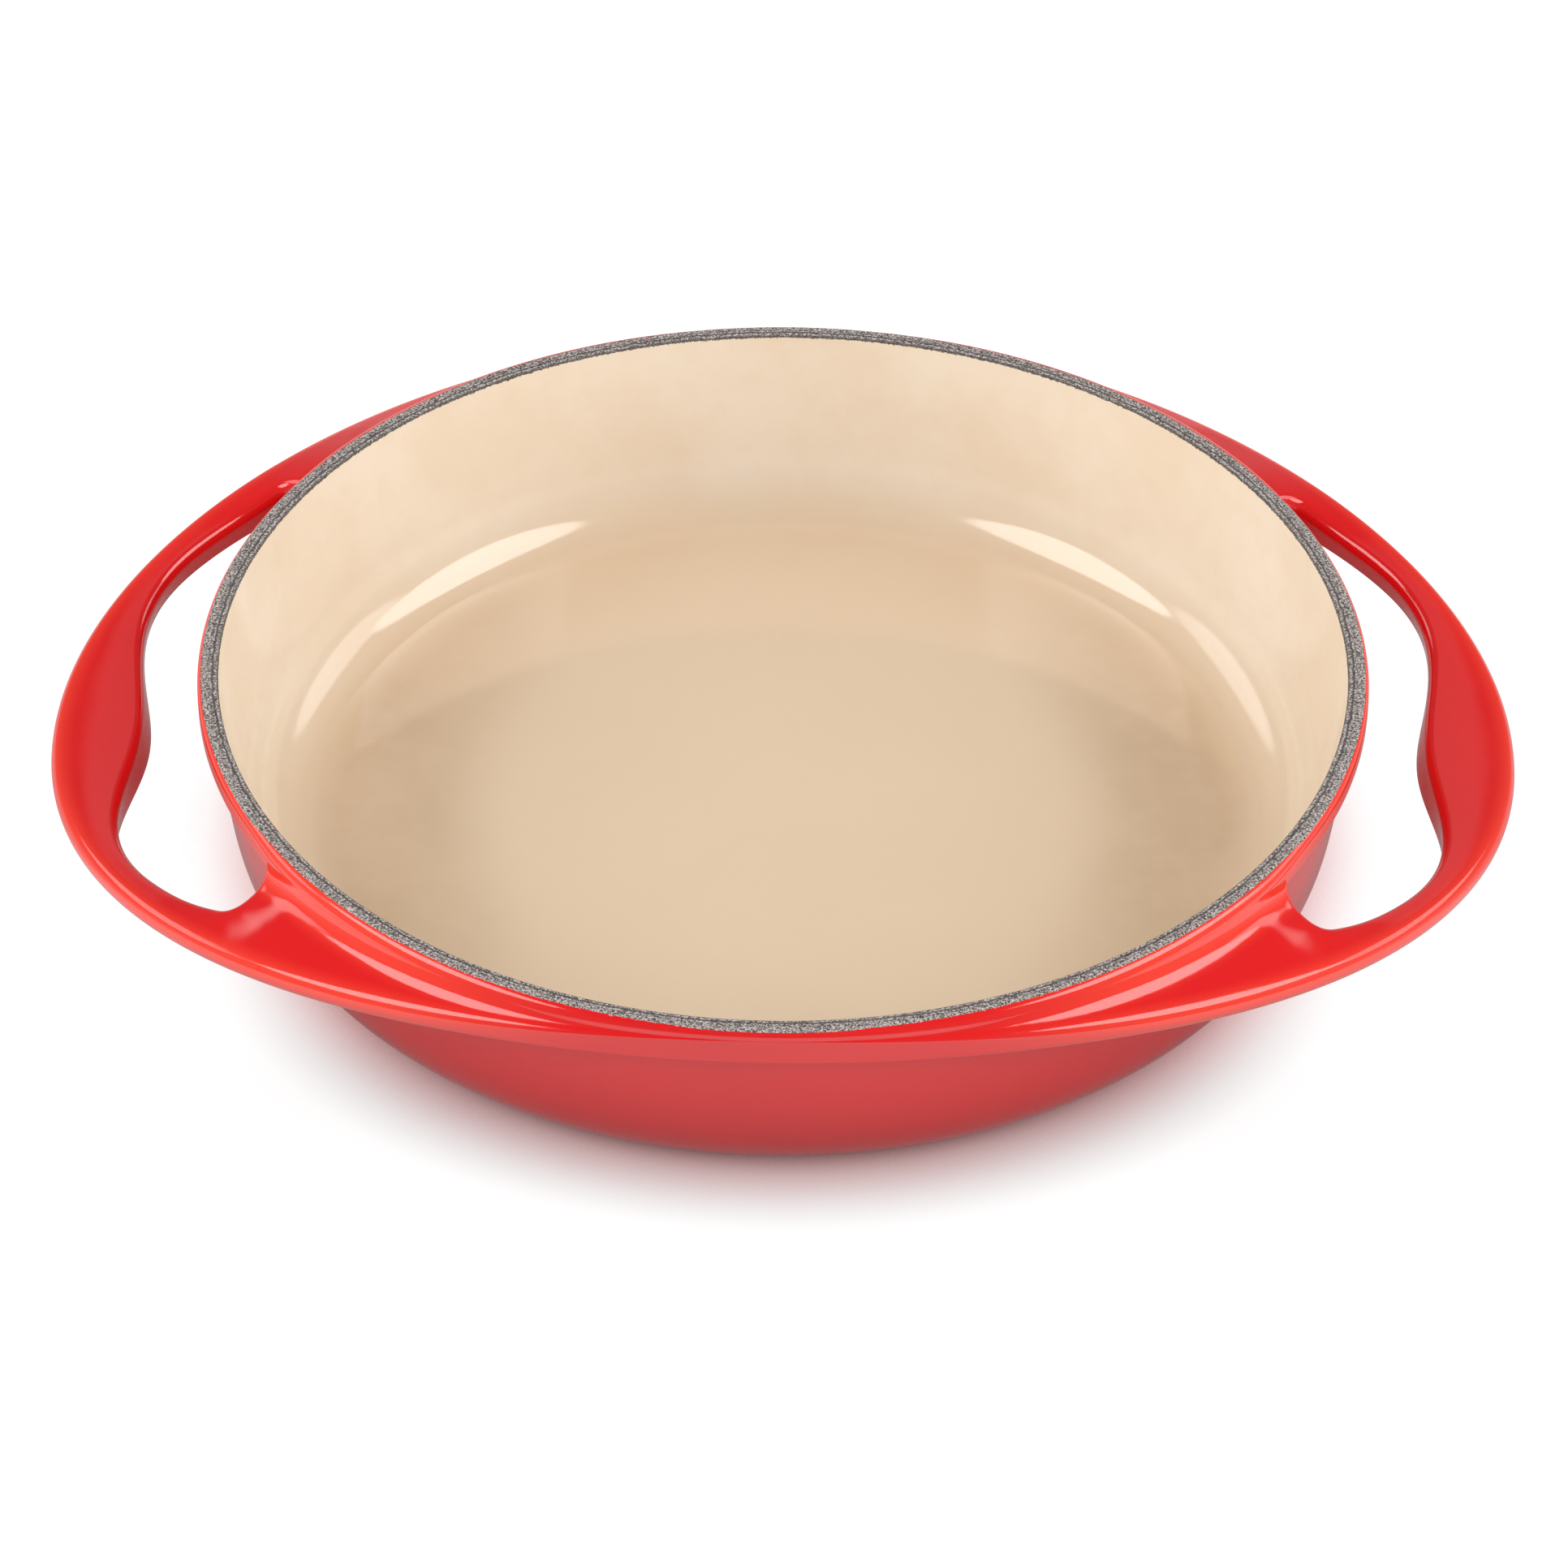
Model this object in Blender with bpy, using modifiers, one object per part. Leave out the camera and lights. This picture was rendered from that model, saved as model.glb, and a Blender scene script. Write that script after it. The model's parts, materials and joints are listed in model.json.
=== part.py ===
"""Tarte tatin dish: a shallow round bowl of cast iron with a loop handle on each side.

The bowl, its rolled collar and the flange that runs out into the two handles are one casting.
Glass enamel covers it: red outside, sand inside. The rim and the foot ring keep the matte
ground coat. Each coat is its own shell, one gap away from the iron.

Metres, +Z up, +X through the handles, origin on the table under the middle of the bowl.
The dish is alike on both sides of X and of Y, so its form is made for one quarter and mirrored.
"""

import math

import bmesh
import bpy
from mathutils import Vector

MM = 0.001

# Bowl
RIM_HEIGHT = 48.4 * MM
MOUTH_RADIUS = 125.0 * MM
INNER_TAPER = 0.165
WALL_AT_RIM = 3.05 * MM
WALL_AT_FLOOR = 4.1 * MM
FLOOR_THICKNESS = 4.1 * MM
FLOOR_FILLET = 16.0 * MM
HEEL_WIDTH = 15.0 * MM
HEEL_HEIGHT = 18.0 * MM
HEEL_SQUARENESS = 2.3
FOOT_WIDTH = 8.5 * MM
FOOT_RECESS = 0.9 * MM

# Rim and collar
BAND_WIDTH = 2.8 * MM
BAND_CHAMFER = 0.5 * MM
BAND_CHAMFER_DROP = 0.15 * MM
COLLAR_ROUNDING = 1.8 * MM
COLLAR_SIDE = 3.3 * MM
COLLAR_TUCK = 1.6 * MM

# Flange and handles
FLANGE_SET_DOWN = 2.1 * MM
HANDLE_DROP = 19.5 * MM
HANDLE_REACH = 33.6 * MM
FRONT_LEDGE = 0.05 * MM
OUTLINE_SQUARENESS = 2.04
EDGE_THICKNESS = 5.75 * MM
EDGE_ROUNDING = 2.0 * MM
EDGE_SHARE = 0.4
COVE_RADIUS = 5.0 * MM
COVE_SHARE = 0.45
COVE_RISE = 0.75
UNDER_FILLET = 6.0 * MM
UNDER_SHARE = 0.6

# Finger hole
GRIP_WIDTH = 20.0 * MM
GRIP_HALF_LENGTH = 58.5 * MM
GRIP_DEPTH = 8.0 * MM
GRIP_DRAFT = 1.4 * MM
ARM_WIDTH = 7.5 * MM
ARM_DRAFT = -0.9 * MM
ROOT_START = 60.0 * MM
ROOT_LENGTH = 20.0 * MM
ROOT_FLARE = 2.5 * MM
ROOT_CURVE = 1.5
HOLE_HALF_LENGTH = 77.2 * MM
HOLE_CORNER = 3.5 * MM
HOLE_CORNER_RUN = 4.2 * MM
HOLE_END_TURN = math.radians(0.9)
HOLE_ROUNDING = 0.7 * MM

# Coats
COAT = 0.5 * MM
GAP = 0.3 * MM
COAT_END_GAP = 0.6 * MM

# Steps of each stretch of the form
HOLE_STEPS = 11
WEB_STEPS = 7
TURN_STEPS = 64
HEEL_STEPS = 5
FILLET_STEPS = 5
ROUND_STEPS = 2
COVE_STEPS = 4
CORNER_STEPS = 4
CORNER_TURN = math.radians(3.5)
HALVINGS = 40
WELD = 0.001 * MM
SHARP_ANGLE = math.radians(40)

QUARTER = math.pi / 2
EIGHTH = math.pi / 4

# Sizes that follow from the ones above
collar_radius = MOUTH_RADIUS + BAND_WIDTH + COLLAR_ROUNDING
collar_top = RIM_HEIGHT - COLLAR_ROUNDING
collar_bottom = collar_top - COLLAR_SIDE
floor_height = FOOT_RECESS + FLOOR_THICKNESS
handle_radius = collar_radius + HANDLE_REACH
ledge_radius = collar_radius + FRONT_LEDGE
flange_height = RIM_HEIGHT - FLANGE_SET_DOWN


def inner_radius(z):
    """The inside wall's radius at a height, before the fillet."""
    return MOUTH_RADIUS - INNER_TAPER * (RIM_HEIGHT - z)


def outer_radius(z):
    """The outside wall's radius at a height, before the heel's curve."""
    depth = (RIM_HEIGHT - z) / RIM_HEIGHT
    return inner_radius(z) + WALL_AT_RIM + (WALL_AT_FLOOR - WALL_AT_RIM) * depth


foot_radius = outer_radius(0) - HEEL_WIDTH
foot_inner_radius = foot_radius - FOOT_WIDTH


def spread(count, start=0.0, end=1.0):
    """Evenly spaced values from start to end, both included."""
    return [start + (end - start) * step / count for step in range(count + 1)]


def blunted(room, size):
    """A size where there is room for it, and less where there isn't, with a smooth change."""
    return room * size / (room**4 + size**4) ** 0.25


def polar(direction, radius, z):
    return Vector((radius * math.cos(direction), radius * math.sin(direction), z))


def along(direction, path):
    """The points of a radius and height path, in one direction from the axis."""
    return [polar(direction, radius, z) for radius, z in path]


# Outline and heights of the flange


def reach(direction):
    """Radius of the flange's outline: a superellipse that touches the collar front and back."""
    across = abs(math.cos(direction) / handle_radius) ** OUTLINE_SQUARENESS
    deep = abs(math.sin(direction) / ledge_radius) ** OUTLINE_SQUARENESS
    return (across + deep) ** (-1 / OUTLINE_SQUARENESS)


def handle_share(direction):
    """1 at the handle's tip and 0 at the front and back."""
    across = (math.cos(direction) / handle_radius) ** 2
    deep = (math.sin(direction) / ledge_radius) ** 2
    return across / (across + deep)


def flange_top(direction):
    return flange_height - HANDLE_DROP * handle_share(direction)


def flange_bottom(direction):
    """Height of the underside at its inner edge: the handles have a deeper lip there."""
    lip = (GRIP_DEPTH - EDGE_THICKNESS) * handle_share(direction)
    return flange_top(direction) - EDGE_THICKNESS - lip


def ledge(direction):
    """How far the flange stands out from the collar."""
    return reach(direction) - collar_radius


def middle_radius(direction):
    """Half way across the flange, where the cove's foot has run out."""
    return collar_radius + ledge(direction) / 2


def cove_width(direction):
    return blunted(ledge(direction) * COVE_SHARE, COVE_RADIUS)


def cove_height(direction):
    return (collar_top - flange_top(direction)) * COVE_RISE


def edge_rounding(direction):
    """The outer edge's radius, which shrinks where the flange is only a ledge."""
    return blunted(ledge(direction) * EDGE_SHARE, EDGE_ROUNDING)


def grip_swell(y):
    """1 in the middle of the handle and 0 where its arms begin."""
    return math.cos(QUARTER * min(abs(y) / GRIP_HALF_LENGTH, 1.0)) ** 2


def handle_inner(direction, lower=False):
    """Radius of the handle's inner edge, on its top or along its bottom."""
    outline = reach(direction)
    y = outline * math.sin(direction)
    swell = grip_swell(y)
    flare = max(0.0, (y - ROOT_START) / ROOT_LENGTH) ** ROOT_CURVE
    width = ARM_WIDTH + (GRIP_WIDTH - ARM_WIDTH) * swell + ROOT_FLARE * flare
    if lower:
        width += ARM_DRAFT + (GRIP_DRAFT - ARM_DRAFT) * swell
    return outline - width


def hole_end_direction():
    """Direction in which the handle's inner edge turns into the hole's corner."""
    low = 0.0
    high = QUARTER
    for _ in range(HALVINGS):
        middle = (low + high) / 2
        if handle_inner(middle) * math.sin(middle) < HOLE_HALF_LENGTH - HOLE_CORNER / 2:
            low = middle
        else:
            high = middle
    return low


hole_end = hole_end_direction()
hole_root = hole_end + HOLE_END_TURN


# The hole's outline


def bezier(start, corner, end, at):
    return start.lerp(corner, at).lerp(corner.lerp(end, at), at)


def hole_outline(lower=False):
    """The hole's edge in plan: along the handle to its corner, and from the bowl to there."""
    corner_half = CORNER_STEPS // 2
    handle = [
        polar(direction, handle_inner(direction, lower), 0)
        for direction in spread(HOLE_STEPS - corner_half, 0.0, hole_end)
    ]
    start = handle[-1]
    heading = (start - handle[-2]).normalized()
    corner = start + heading * HOLE_CORNER_RUN
    root = polar(hole_root, collar_radius, 0)
    back = corner + (root - corner).normalized() * HOLE_CORNER
    rounding = [bezier(start, corner, back, at) for at in spread(CORNER_STEPS)]
    handle += rounding[1 : corner_half + 1]
    end = [root.lerp(back, 1 - math.cos(turn)) for turn in spread(COVE_STEPS, 0.0, QUARTER)]
    end += rounding[corner_half:-1][::-1]
    return handle, end


def normals_of(outline, side):
    """Unit vectors in plan across an outline: to its right for side 1, to its left for -1."""
    normals = []
    for index, _ in enumerate(outline):
        before = outline[max(index - 1, 0)]
        after = outline[min(index + 1, len(outline) - 1)]
        heading = (after - before).normalized()
        normals.append(Vector((heading.y, -heading.x, 0)) * side)
    return normals


# Paths in radius and height


def collar_path():
    """The collar's rounding from the grey band, and its side."""
    start = math.asin(COAT_END_GAP / COLLAR_ROUNDING)
    path = []
    for turn in spread(ROUND_STEPS, start, QUARTER):
        out = COLLAR_ROUNDING * math.sin(turn)
        up = COLLAR_ROUNDING * math.cos(turn)
        path.append((collar_radius - COLLAR_ROUNDING + out, collar_top + up))
    return path


def cove_path(direction):
    """The hollow from the collar's side down to the flange's top, as far as half its width."""
    width = cove_width(direction)
    height = cove_height(direction)
    top = flange_top(direction)
    path = []
    for turn in spread(COVE_STEPS, 0.0, QUARTER):
        out = width * (1 - math.cos(turn))
        down = height * (1 - math.sin(turn))
        path.append((collar_radius + out, top + down))
    middle = middle_radius(direction)
    path.append(((path[-1][0] + middle) / 2, top))
    path.append((middle, top))
    return path


def under_path(direction):
    """The underside from the wall to half the flange's width."""
    bottom = flange_bottom(direction)
    middle = middle_radius(direction)
    width = blunted((middle - outer_radius(bottom)) * UNDER_SHARE, UNDER_FILLET)
    height = min(width, (bottom - HEEL_HEIGHT) * UNDER_SHARE)
    path = []
    for turn in spread(COVE_STEPS, 0.0, QUARTER):
        out = width * (1 - math.cos(turn))
        z = bottom - height * (1 - math.sin(turn))
        path.append((outer_radius(z) + out, z))
    path.append(((path[-1][0] + middle) / 2, bottom))
    path.append((middle, bottom))
    return path


def edge_path(direction):
    """The flange's outer edge, from the end of its flat top round to its underside."""
    radius = edge_rounding(direction)
    outline = reach(direction)
    top = flange_top(direction)
    bottom = top - EDGE_THICKNESS
    path = []
    for turn in spread(ROUND_STEPS, 0.0, QUARTER):
        path.append((outline - radius * (1 - math.sin(turn)), top - radius * (1 - math.cos(turn))))
    for turn in spread(ROUND_STEPS, QUARTER, 0.0):
        path.append((outline - radius * (1 - math.sin(turn)), bottom + radius * (1 - math.cos(turn))))
    return path


wall_foot = under_path(hole_end)[0][1]


def tuck_path():
    """Under the collar in the finger hole: its tucked edge, the crease and the wall below."""
    crease = collar_bottom - COLLAR_TUCK
    middle = (collar_bottom + crease) / 2
    below = crease - COLLAR_TUCK * 2
    overhang = collar_radius - outer_radius(crease)
    path = [(collar_radius, collar_bottom)]
    path.append((collar_radius - overhang * (1 - math.cos(EIGHTH)), middle))
    for z in (crease, below, (below + wall_foot) / 2, wall_foot):
        path.append((outer_radius(z), z))
    return path


def heel_path(top):
    """The wall below the flange and its curve in to the foot ring."""
    path = [(outer_radius(z), z) for z in (top, (top + HEEL_HEIGHT) / 2)]
    last = math.acos((COAT_END_GAP / HEEL_WIDTH) ** (HEEL_SQUARENESS / 2))
    for turn in spread(HEEL_STEPS, 0.0, last):
        z = HEEL_HEIGHT * (1 - math.sin(turn) ** (2 / HEEL_SQUARENESS))
        drawn_in = HEEL_WIDTH * (1 - math.cos(turn) ** (2 / HEEL_SQUARENESS))
        path.append((outer_radius(z) - drawn_in, z))
    return path


def band_path():
    """The rim's top from the bowl's mouth to the collar's rounding."""
    outer = MOUTH_RADIUS + BAND_WIDTH
    shoulder = RIM_HEIGHT - BAND_CHAMFER_DROP
    return [
        (MOUTH_RADIUS, shoulder),
        (MOUTH_RADIUS + BAND_CHAMFER, RIM_HEIGHT),
        (outer - BAND_CHAMFER, RIM_HEIGHT),
        (outer, shoulder),
    ]


def inside_path():
    """The inside from the rim down the wall, round the fillet and over the floor."""
    slope = math.atan(INNER_TAPER)
    centre_z = floor_height + FLOOR_FILLET
    centre_r = inner_radius(centre_z) - FLOOR_FILLET / math.cos(slope)
    path = []
    for turn in spread(FILLET_STEPS, -slope, -QUARTER):
        out = FLOOR_FILLET * math.cos(turn)
        up = FLOOR_FILLET * math.sin(turn)
        path.append((centre_r + out, centre_z + up))
    path.append((0.0, floor_height))
    return path


def foot_path():
    """The foot ring's flat face and the small step up to the underside."""
    return [
        (foot_radius, 0.0),
        (foot_inner_radius, 0.0),
        (foot_inner_radius - FOOT_RECESS, FOOT_RECESS),
    ]


# The quarter form, as sheets of points that share their borders


def sheet(mesh, rows):
    """Quads between rows of points."""
    grid = [[mesh.verts.new(point) for point in row] for row in rows]
    for upper, lower in zip(grid, grid[1:]):
        for index in range(len(upper) - 1):
            corners = (upper[index], upper[index + 1], lower[index + 1], lower[index])
            mesh.faces.new(corners)


def lip_column(top, bottom, normal, low_normal, z_top, z_bottom):
    """The hole's side at one point of its edge, rounded into the top and the underside."""
    ease = HOLE_ROUNDING
    part = ease * (1 - math.cos(EIGHTH))
    return [
        top + normal * ease + Vector((0, 0, z_top)),
        top + normal * part + Vector((0, 0, z_top - part)),
        top + Vector((0, 0, z_top - ease)),
        bottom + Vector((0, 0, z_bottom + ease)),
        bottom + low_normal * part + Vector((0, 0, z_bottom + part)),
        bottom + low_normal * ease + Vector((0, 0, z_bottom)),
    ]


def direction_of(point):
    return math.atan2(point.y, point.x)


def height_on(path, radius):
    """Height of a path at a radius."""
    for (r0, z0), (r1, z1) in zip(path, path[1:]):
        if r0 <= radius <= r1:
            return z0 + (z1 - z0) * (radius - r0) / (r1 - r0)
    return path[-1][1] if radius > path[-1][0] else path[0][1]


def end_columns():
    """The hole's end wall: one column of points for each point of its end edge."""
    top_edge = hole_outline()[1]
    low_edge = hole_outline(lower=True)[1]
    normals = normals_of(top_edge, -1)
    low_normals = normals_of(low_edge, -1)
    columns = []
    for index in range(1, len(top_edge)):
        top = top_edge[index]
        low = low_edge[index]
        z_top = height_on(cove_path(direction_of(top)), top.length)
        z_bottom = height_on(under_path(direction_of(low)), low.length)
        columns.append(lip_column(top, low, normals[index], low_normals[index], z_top, z_bottom))
    wall = tuck_path()
    wall[0] = (collar_radius, cove_path(hole_root)[0][1])
    return [along(hole_root, wall)] + columns


def handle_columns():
    """The handle's inner side, from its middle to the hole's corner."""
    top_edge = hole_outline()[0]
    low_edge = hole_outline(lower=True)[0]
    normals = normals_of(top_edge, 1)
    low_normals = normals_of(low_edge, 1)
    normals[0] = low_normals[0] = Vector((1, 0, 0))
    columns = []
    for index, top in enumerate(top_edge):
        direction = direction_of(top)
        low = low_edge[index]
        z_top = flange_top(direction)
        z_bottom = flange_bottom(direction)
        columns.append(lip_column(top, low, normals[index], low_normals[index], z_top, z_bottom))
    return columns


def add_outside(mesh):
    """The outside of one quarter, from the collar's rounding to the heel."""
    corner_half = CORNER_STEPS // 2
    hole_directions = spread(HOLE_STEPS - corner_half, 0.0, hole_end)
    hole_directions += spread(corner_half, hole_end, hole_end + CORNER_TURN)[1:]
    web_directions = spread(WEB_STEPS, hole_directions[-1], QUARTER)[1:]
    bowl_hole = spread(HOLE_STEPS, 0.0, hole_root)
    bowl_directions = bowl_hole + spread(WEB_STEPS, hole_root, QUARTER)[1:]

    end_wall = end_columns()
    hole_side = handle_columns()
    hole_side[-1] = end_wall[-1]
    tucks = [along(direction, tuck_path()) for direction in bowl_hole]
    tucks[-1] = end_wall[0]
    coves = [along(direction, cove_path(direction)) for direction in web_directions]
    unders = [along(direction, under_path(direction)) for direction in web_directions]

    necks = [column[0] for column in tucks] + [path[0] for path in coves]
    tops = [column[0] for column in hole_side] + [path[-1] for path in coves]
    bottoms = [column[-1] for column in hole_side] + [path[-1] for path in unders]
    walls = [column[-1] for column in tucks] + [path[0] for path in unders]

    collars = []
    heels = []
    for direction, neck, wall in zip(bowl_directions, necks, walls):
        collars.append(along(direction, collar_path()) + [neck])
        heels.append([wall] + along(direction, heel_path(wall.z))[1:])
    edges = []
    for direction, top, bottom in zip(hole_directions + web_directions, tops, bottoms):
        edges.append([top] + along(direction, edge_path(direction)) + [bottom])

    sheet(mesh, collars)
    sheet(mesh, tucks)
    sheet(mesh, [[column[0] for column in end_wall]] + coves)
    sheet(mesh, edges)
    sheet(mesh, [[column[-1] for column in end_wall]] + unders)
    sheet(mesh, hole_side)
    sheet(mesh, end_wall)
    sheet(mesh, heels)
    return bowl_directions


def mirrored(mesh):
    """The whole form from its first quarter, with its seams and shared borders welded."""
    bmesh.ops.remove_doubles(mesh, verts=mesh.verts, dist=WELD)
    for axis in ("X", "Y"):
        geometry = mesh.verts[:] + mesh.edges[:] + mesh.faces[:]
        bmesh.ops.mirror(mesh, geom=geometry, axis=axis, merge_dist=WELD)
    bmesh.ops.recalc_face_normals(mesh, faces=mesh.faces)


def shrink(mesh, depth):
    """Moves every face inwards by the same depth."""
    mesh.normal_update()
    moves = [vertex.normal * vertex.calc_shell_factor() * depth for vertex in mesh.verts]
    for vertex, move in zip(mesh.verts, moves):
        vertex.co -= move


# Objects


def finish_material(name, colour, roughness, metallic=0.0):
    material = bpy.data.materials.new(name)
    material.use_nodes = True
    shader = material.node_tree.nodes["Principled BSDF"]
    shader.inputs["Base Color"].default_value = (*colour, 1.0)
    shader.inputs["Roughness"].default_value = roughness
    shader.inputs["Metallic"].default_value = metallic
    return material


def add_object(collection, name, mesh, material):
    """Puts a finished form in the scene as one named sub-part."""
    data = bpy.data.meshes.new(name)
    mesh.to_mesh(data)
    mesh.free()
    data.shade_smooth()
    data.set_sharp_from_angle(angle=SHARP_ANGLE)
    data.materials.append(material)
    part = bpy.data.objects.new(name, data)
    collection.objects.link(part)
    return part


def add_turned(collection, name, path, material, closed=False):
    """A profile in radius and height, turned about Z."""
    mesh = bmesh.new()
    points = [mesh.verts.new((radius, 0, z)) for radius, z in path]
    if closed:
        points.append(points[0])
    for start, end in zip(points, points[1:]):
        mesh.edges.new((start, end))
    part = add_object(collection, name, mesh, material)
    turn = part.modifiers.new("turn", "SCREW")
    turn.steps = TURN_STEPS
    turn.render_steps = TURN_STEPS
    turn.use_merge_vertices = True
    turn.merge_threshold = WELD
    turn.use_smooth_shade = True
    return part


def add_thickness(part, offset):
    """Gives an open skin the coat's thickness, on one side of it."""
    shell = part.modifiers.new("coat", "SOLIDIFY")
    shell.thickness = COAT
    shell.offset = offset
    shell.use_even_offset = True


def make_iron_casting(collection):
    mesh = bmesh.new()
    directions = add_outside(mesh)
    top = inside_path()[::-1] + band_path() + collar_path()[:1]
    base = heel_path(wall_foot)[-1:] + foot_path() + [(0.0, FOOT_RECESS)]
    sheet(mesh, [along(direction, top) for direction in directions])
    sheet(mesh, [along(direction, base) for direction in directions])
    mirrored(mesh)
    shrink(mesh, COAT + GAP)
    iron = finish_material("cast_iron", (0.035, 0.034, 0.033), 0.75, 0.6)
    add_object(collection, "iron_casting", mesh, iron)


def make_exterior_enamel(collection):
    mesh = bmesh.new()
    add_outside(mesh)
    mirrored(mesh)
    red = finish_material("red_enamel", (0.68, 0.012, 0.006), 0.12)
    part = add_object(collection, "exterior_enamel", mesh, red)
    add_thickness(part, -1)


def make_interior_enamel(collection):
    top = RIM_HEIGHT - COAT - GAP
    path = [(inner_radius(top), top)] + inside_path()
    sand = finish_material("sand_enamel", (0.76, 0.58, 0.41), 0.15)
    part = add_turned(collection, "interior_enamel", path, sand)
    add_thickness(part, 1)


def make_rim_ground_coat(collection):
    base = RIM_HEIGHT - COAT
    path = band_path()
    path = path[1:] + [(path[-1][0], base), (path[0][0], base), path[0]]
    grey = finish_material("rim_ground_coat", (0.15, 0.13, 0.125), 0.7)
    add_turned(collection, "rim_ground_coat", path, grey, closed=True)


def make_foot_ground_coat(collection):
    grey = finish_material("foot_ground_coat", (0.06, 0.055, 0.05), 0.7)
    part = add_turned(collection, "foot_ground_coat", foot_path(), grey)
    add_thickness(part, -1)


def make_underside_enamel(collection):
    edge = foot_path()[-1][0] - GAP
    path = [(edge, FOOT_RECESS), (0.0, FOOT_RECESS)]
    red = finish_material("underside_enamel", (0.6, 0.012, 0.008), 0.2)
    part = add_turned(collection, "underside_enamel", path, red)
    add_thickness(part, -1)


def main():
    for existing in list(bpy.data.objects):
        bpy.data.objects.remove(existing, do_unlink=True)
    collection = bpy.data.collections.new("tarte_tatin_dish")
    bpy.context.scene.collection.children.link(collection)
    make_iron_casting(collection)
    make_exterior_enamel(collection)
    make_interior_enamel(collection)
    make_rim_ground_coat(collection)
    make_foot_ground_coat(collection)
    make_underside_enamel(collection)


main()
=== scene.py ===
import json
import math

import bmesh
import bpy
from mathutils import Matrix, Vector

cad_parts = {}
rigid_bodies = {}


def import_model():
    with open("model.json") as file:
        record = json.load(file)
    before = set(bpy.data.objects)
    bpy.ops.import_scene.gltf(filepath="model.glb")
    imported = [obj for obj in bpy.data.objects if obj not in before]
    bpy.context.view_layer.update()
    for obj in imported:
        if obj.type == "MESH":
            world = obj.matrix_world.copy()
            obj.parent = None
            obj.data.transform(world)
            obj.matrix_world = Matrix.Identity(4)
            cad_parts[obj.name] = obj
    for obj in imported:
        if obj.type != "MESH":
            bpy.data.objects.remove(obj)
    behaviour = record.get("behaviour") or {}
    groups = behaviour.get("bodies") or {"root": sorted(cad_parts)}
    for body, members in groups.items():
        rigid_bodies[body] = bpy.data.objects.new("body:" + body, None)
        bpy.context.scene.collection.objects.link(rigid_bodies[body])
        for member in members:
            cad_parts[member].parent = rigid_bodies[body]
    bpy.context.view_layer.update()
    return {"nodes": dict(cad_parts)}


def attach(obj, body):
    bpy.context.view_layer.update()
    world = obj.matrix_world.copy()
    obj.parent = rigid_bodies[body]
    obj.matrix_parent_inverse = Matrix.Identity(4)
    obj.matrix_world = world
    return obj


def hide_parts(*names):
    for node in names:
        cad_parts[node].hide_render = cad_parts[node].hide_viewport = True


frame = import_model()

MM = 0.001
QUARTER = math.pi / 2

# Bowl
RIM_HEIGHT = 48.4 * MM
MOUTH_RADIUS = 125.0 * MM
INNER_TAPER = 0.165
WALL_AT_RIM = 3.05 * MM
WALL_AT_FLOOR = 4.1 * MM
FLOOR_THICKNESS = 4.1 * MM
FLOOR_FILLET = 16.0 * MM
HEEL_WIDTH = 15.0 * MM
HEEL_HEIGHT = 18.0 * MM
HEEL_SQUARENESS = 2.3
FOOT_WIDTH = 8.5 * MM
FOOT_RECESS = 0.9 * MM

# Rim and collar
BAND_WIDTH = 2.8 * MM
COLLAR_ROUNDING = 1.8 * MM
COLLAR_SWELL = 0.9 * MM
SWELL_LEDGE = 3.0 * MM
COLLAR_SIDE = 3.3 * MM
COLLAR_TUCK = 1.6 * MM

# Flange and handles
FLANGE_SET_DOWN = 2.1 * MM
HANDLE_DROP = 19.5 * MM
HANDLE_REACH = 33.6 * MM
FRONT_LEDGE = 0.05 * MM
OUTLINE_SQUARENESS = 2.04
EDGE_THICKNESS = 5.75 * MM
EDGE_ROUNDING = 2.8 * MM
EDGE_SHARE = 0.4
FLANGE_CLIMB = 0.82
CLIMB_START = math.radians(27)
CLIMB_END = math.radians(38)
COVE_RADIUS = 6.0 * MM
COVE_ROOM = 0.9
FLANK_LIMIT = math.radians(89)
FLANK_USED = 0.98
LEAST_TURN = 0.01
NECK_SHARE = 0.6
GRIP_CROWN = 0.5 * MM
UNDER_FILLET = 6.0 * MM
UNDER_SHARE = 0.6

# Finger hole
GRIP_WIDTH = 20.0 * MM
GRIP_HALF_LENGTH = 58.5 * MM
GRIP_DEPTH = 8.0 * MM
GRIP_DRAFT = 1.4 * MM
ARM_WIDTH = 8.3 * MM
ARM_DRAFT = -1.3 * MM
ROOT_START = 60.0 * MM
ROOT_LENGTH = 20.0 * MM
ROOT_FLARE = 2.5 * MM
ROOT_CURVE = 1.5
HOLE_HALF_LENGTH = 77.7 * MM
HOLE_CORNER = 4.5 * MM
HOLE_CORNER_RUN = 4.2 * MM
HOLE_END_TURN = math.radians(0.7)
HOLE_ROUNDING = 2.4 * MM
HOLE_UNDER_ROUNDING = 0.4 * MM
HOLE_ROOT_ROUNDING = 0.2 * MM

# Coats
COAT = 0.5 * MM
BAND_SINK = 0.015 * MM
BAND_LIP_TURN = math.radians(34)
BAND_BACK_OUTWARD = 0.6 * MM
BAND_BACK_INWARD = 0.5 * MM
BAND_DEPTH = 1.0 * MM
SAND_SET_DOWN = 0.35 * MM
SAND_LIP = 0.22 * MM
FOOT_EASE = 0.25 * MM
FOOT_BACK = 0.45 * MM
RECESS_OVERLAP = 0.2 * MM
RECESS_EASE = 0.3 * MM
RECESS_RISE = 0.15 * MM
LIP_TURN = math.radians(7)
HEEL_LIP = 0.15 * MM

# The bare rim's bevel and flat top, in millimetres outward from the mouth and down
RIM_BEVEL = ((-0.12, 0.75), (-0.04, 0.35), (0.1, 0.13), (0.4, 0.02))
RIM_FLAT = ((0.8, 0), (1.3, 0), (1.8, 0), (2.3, 0))
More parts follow.
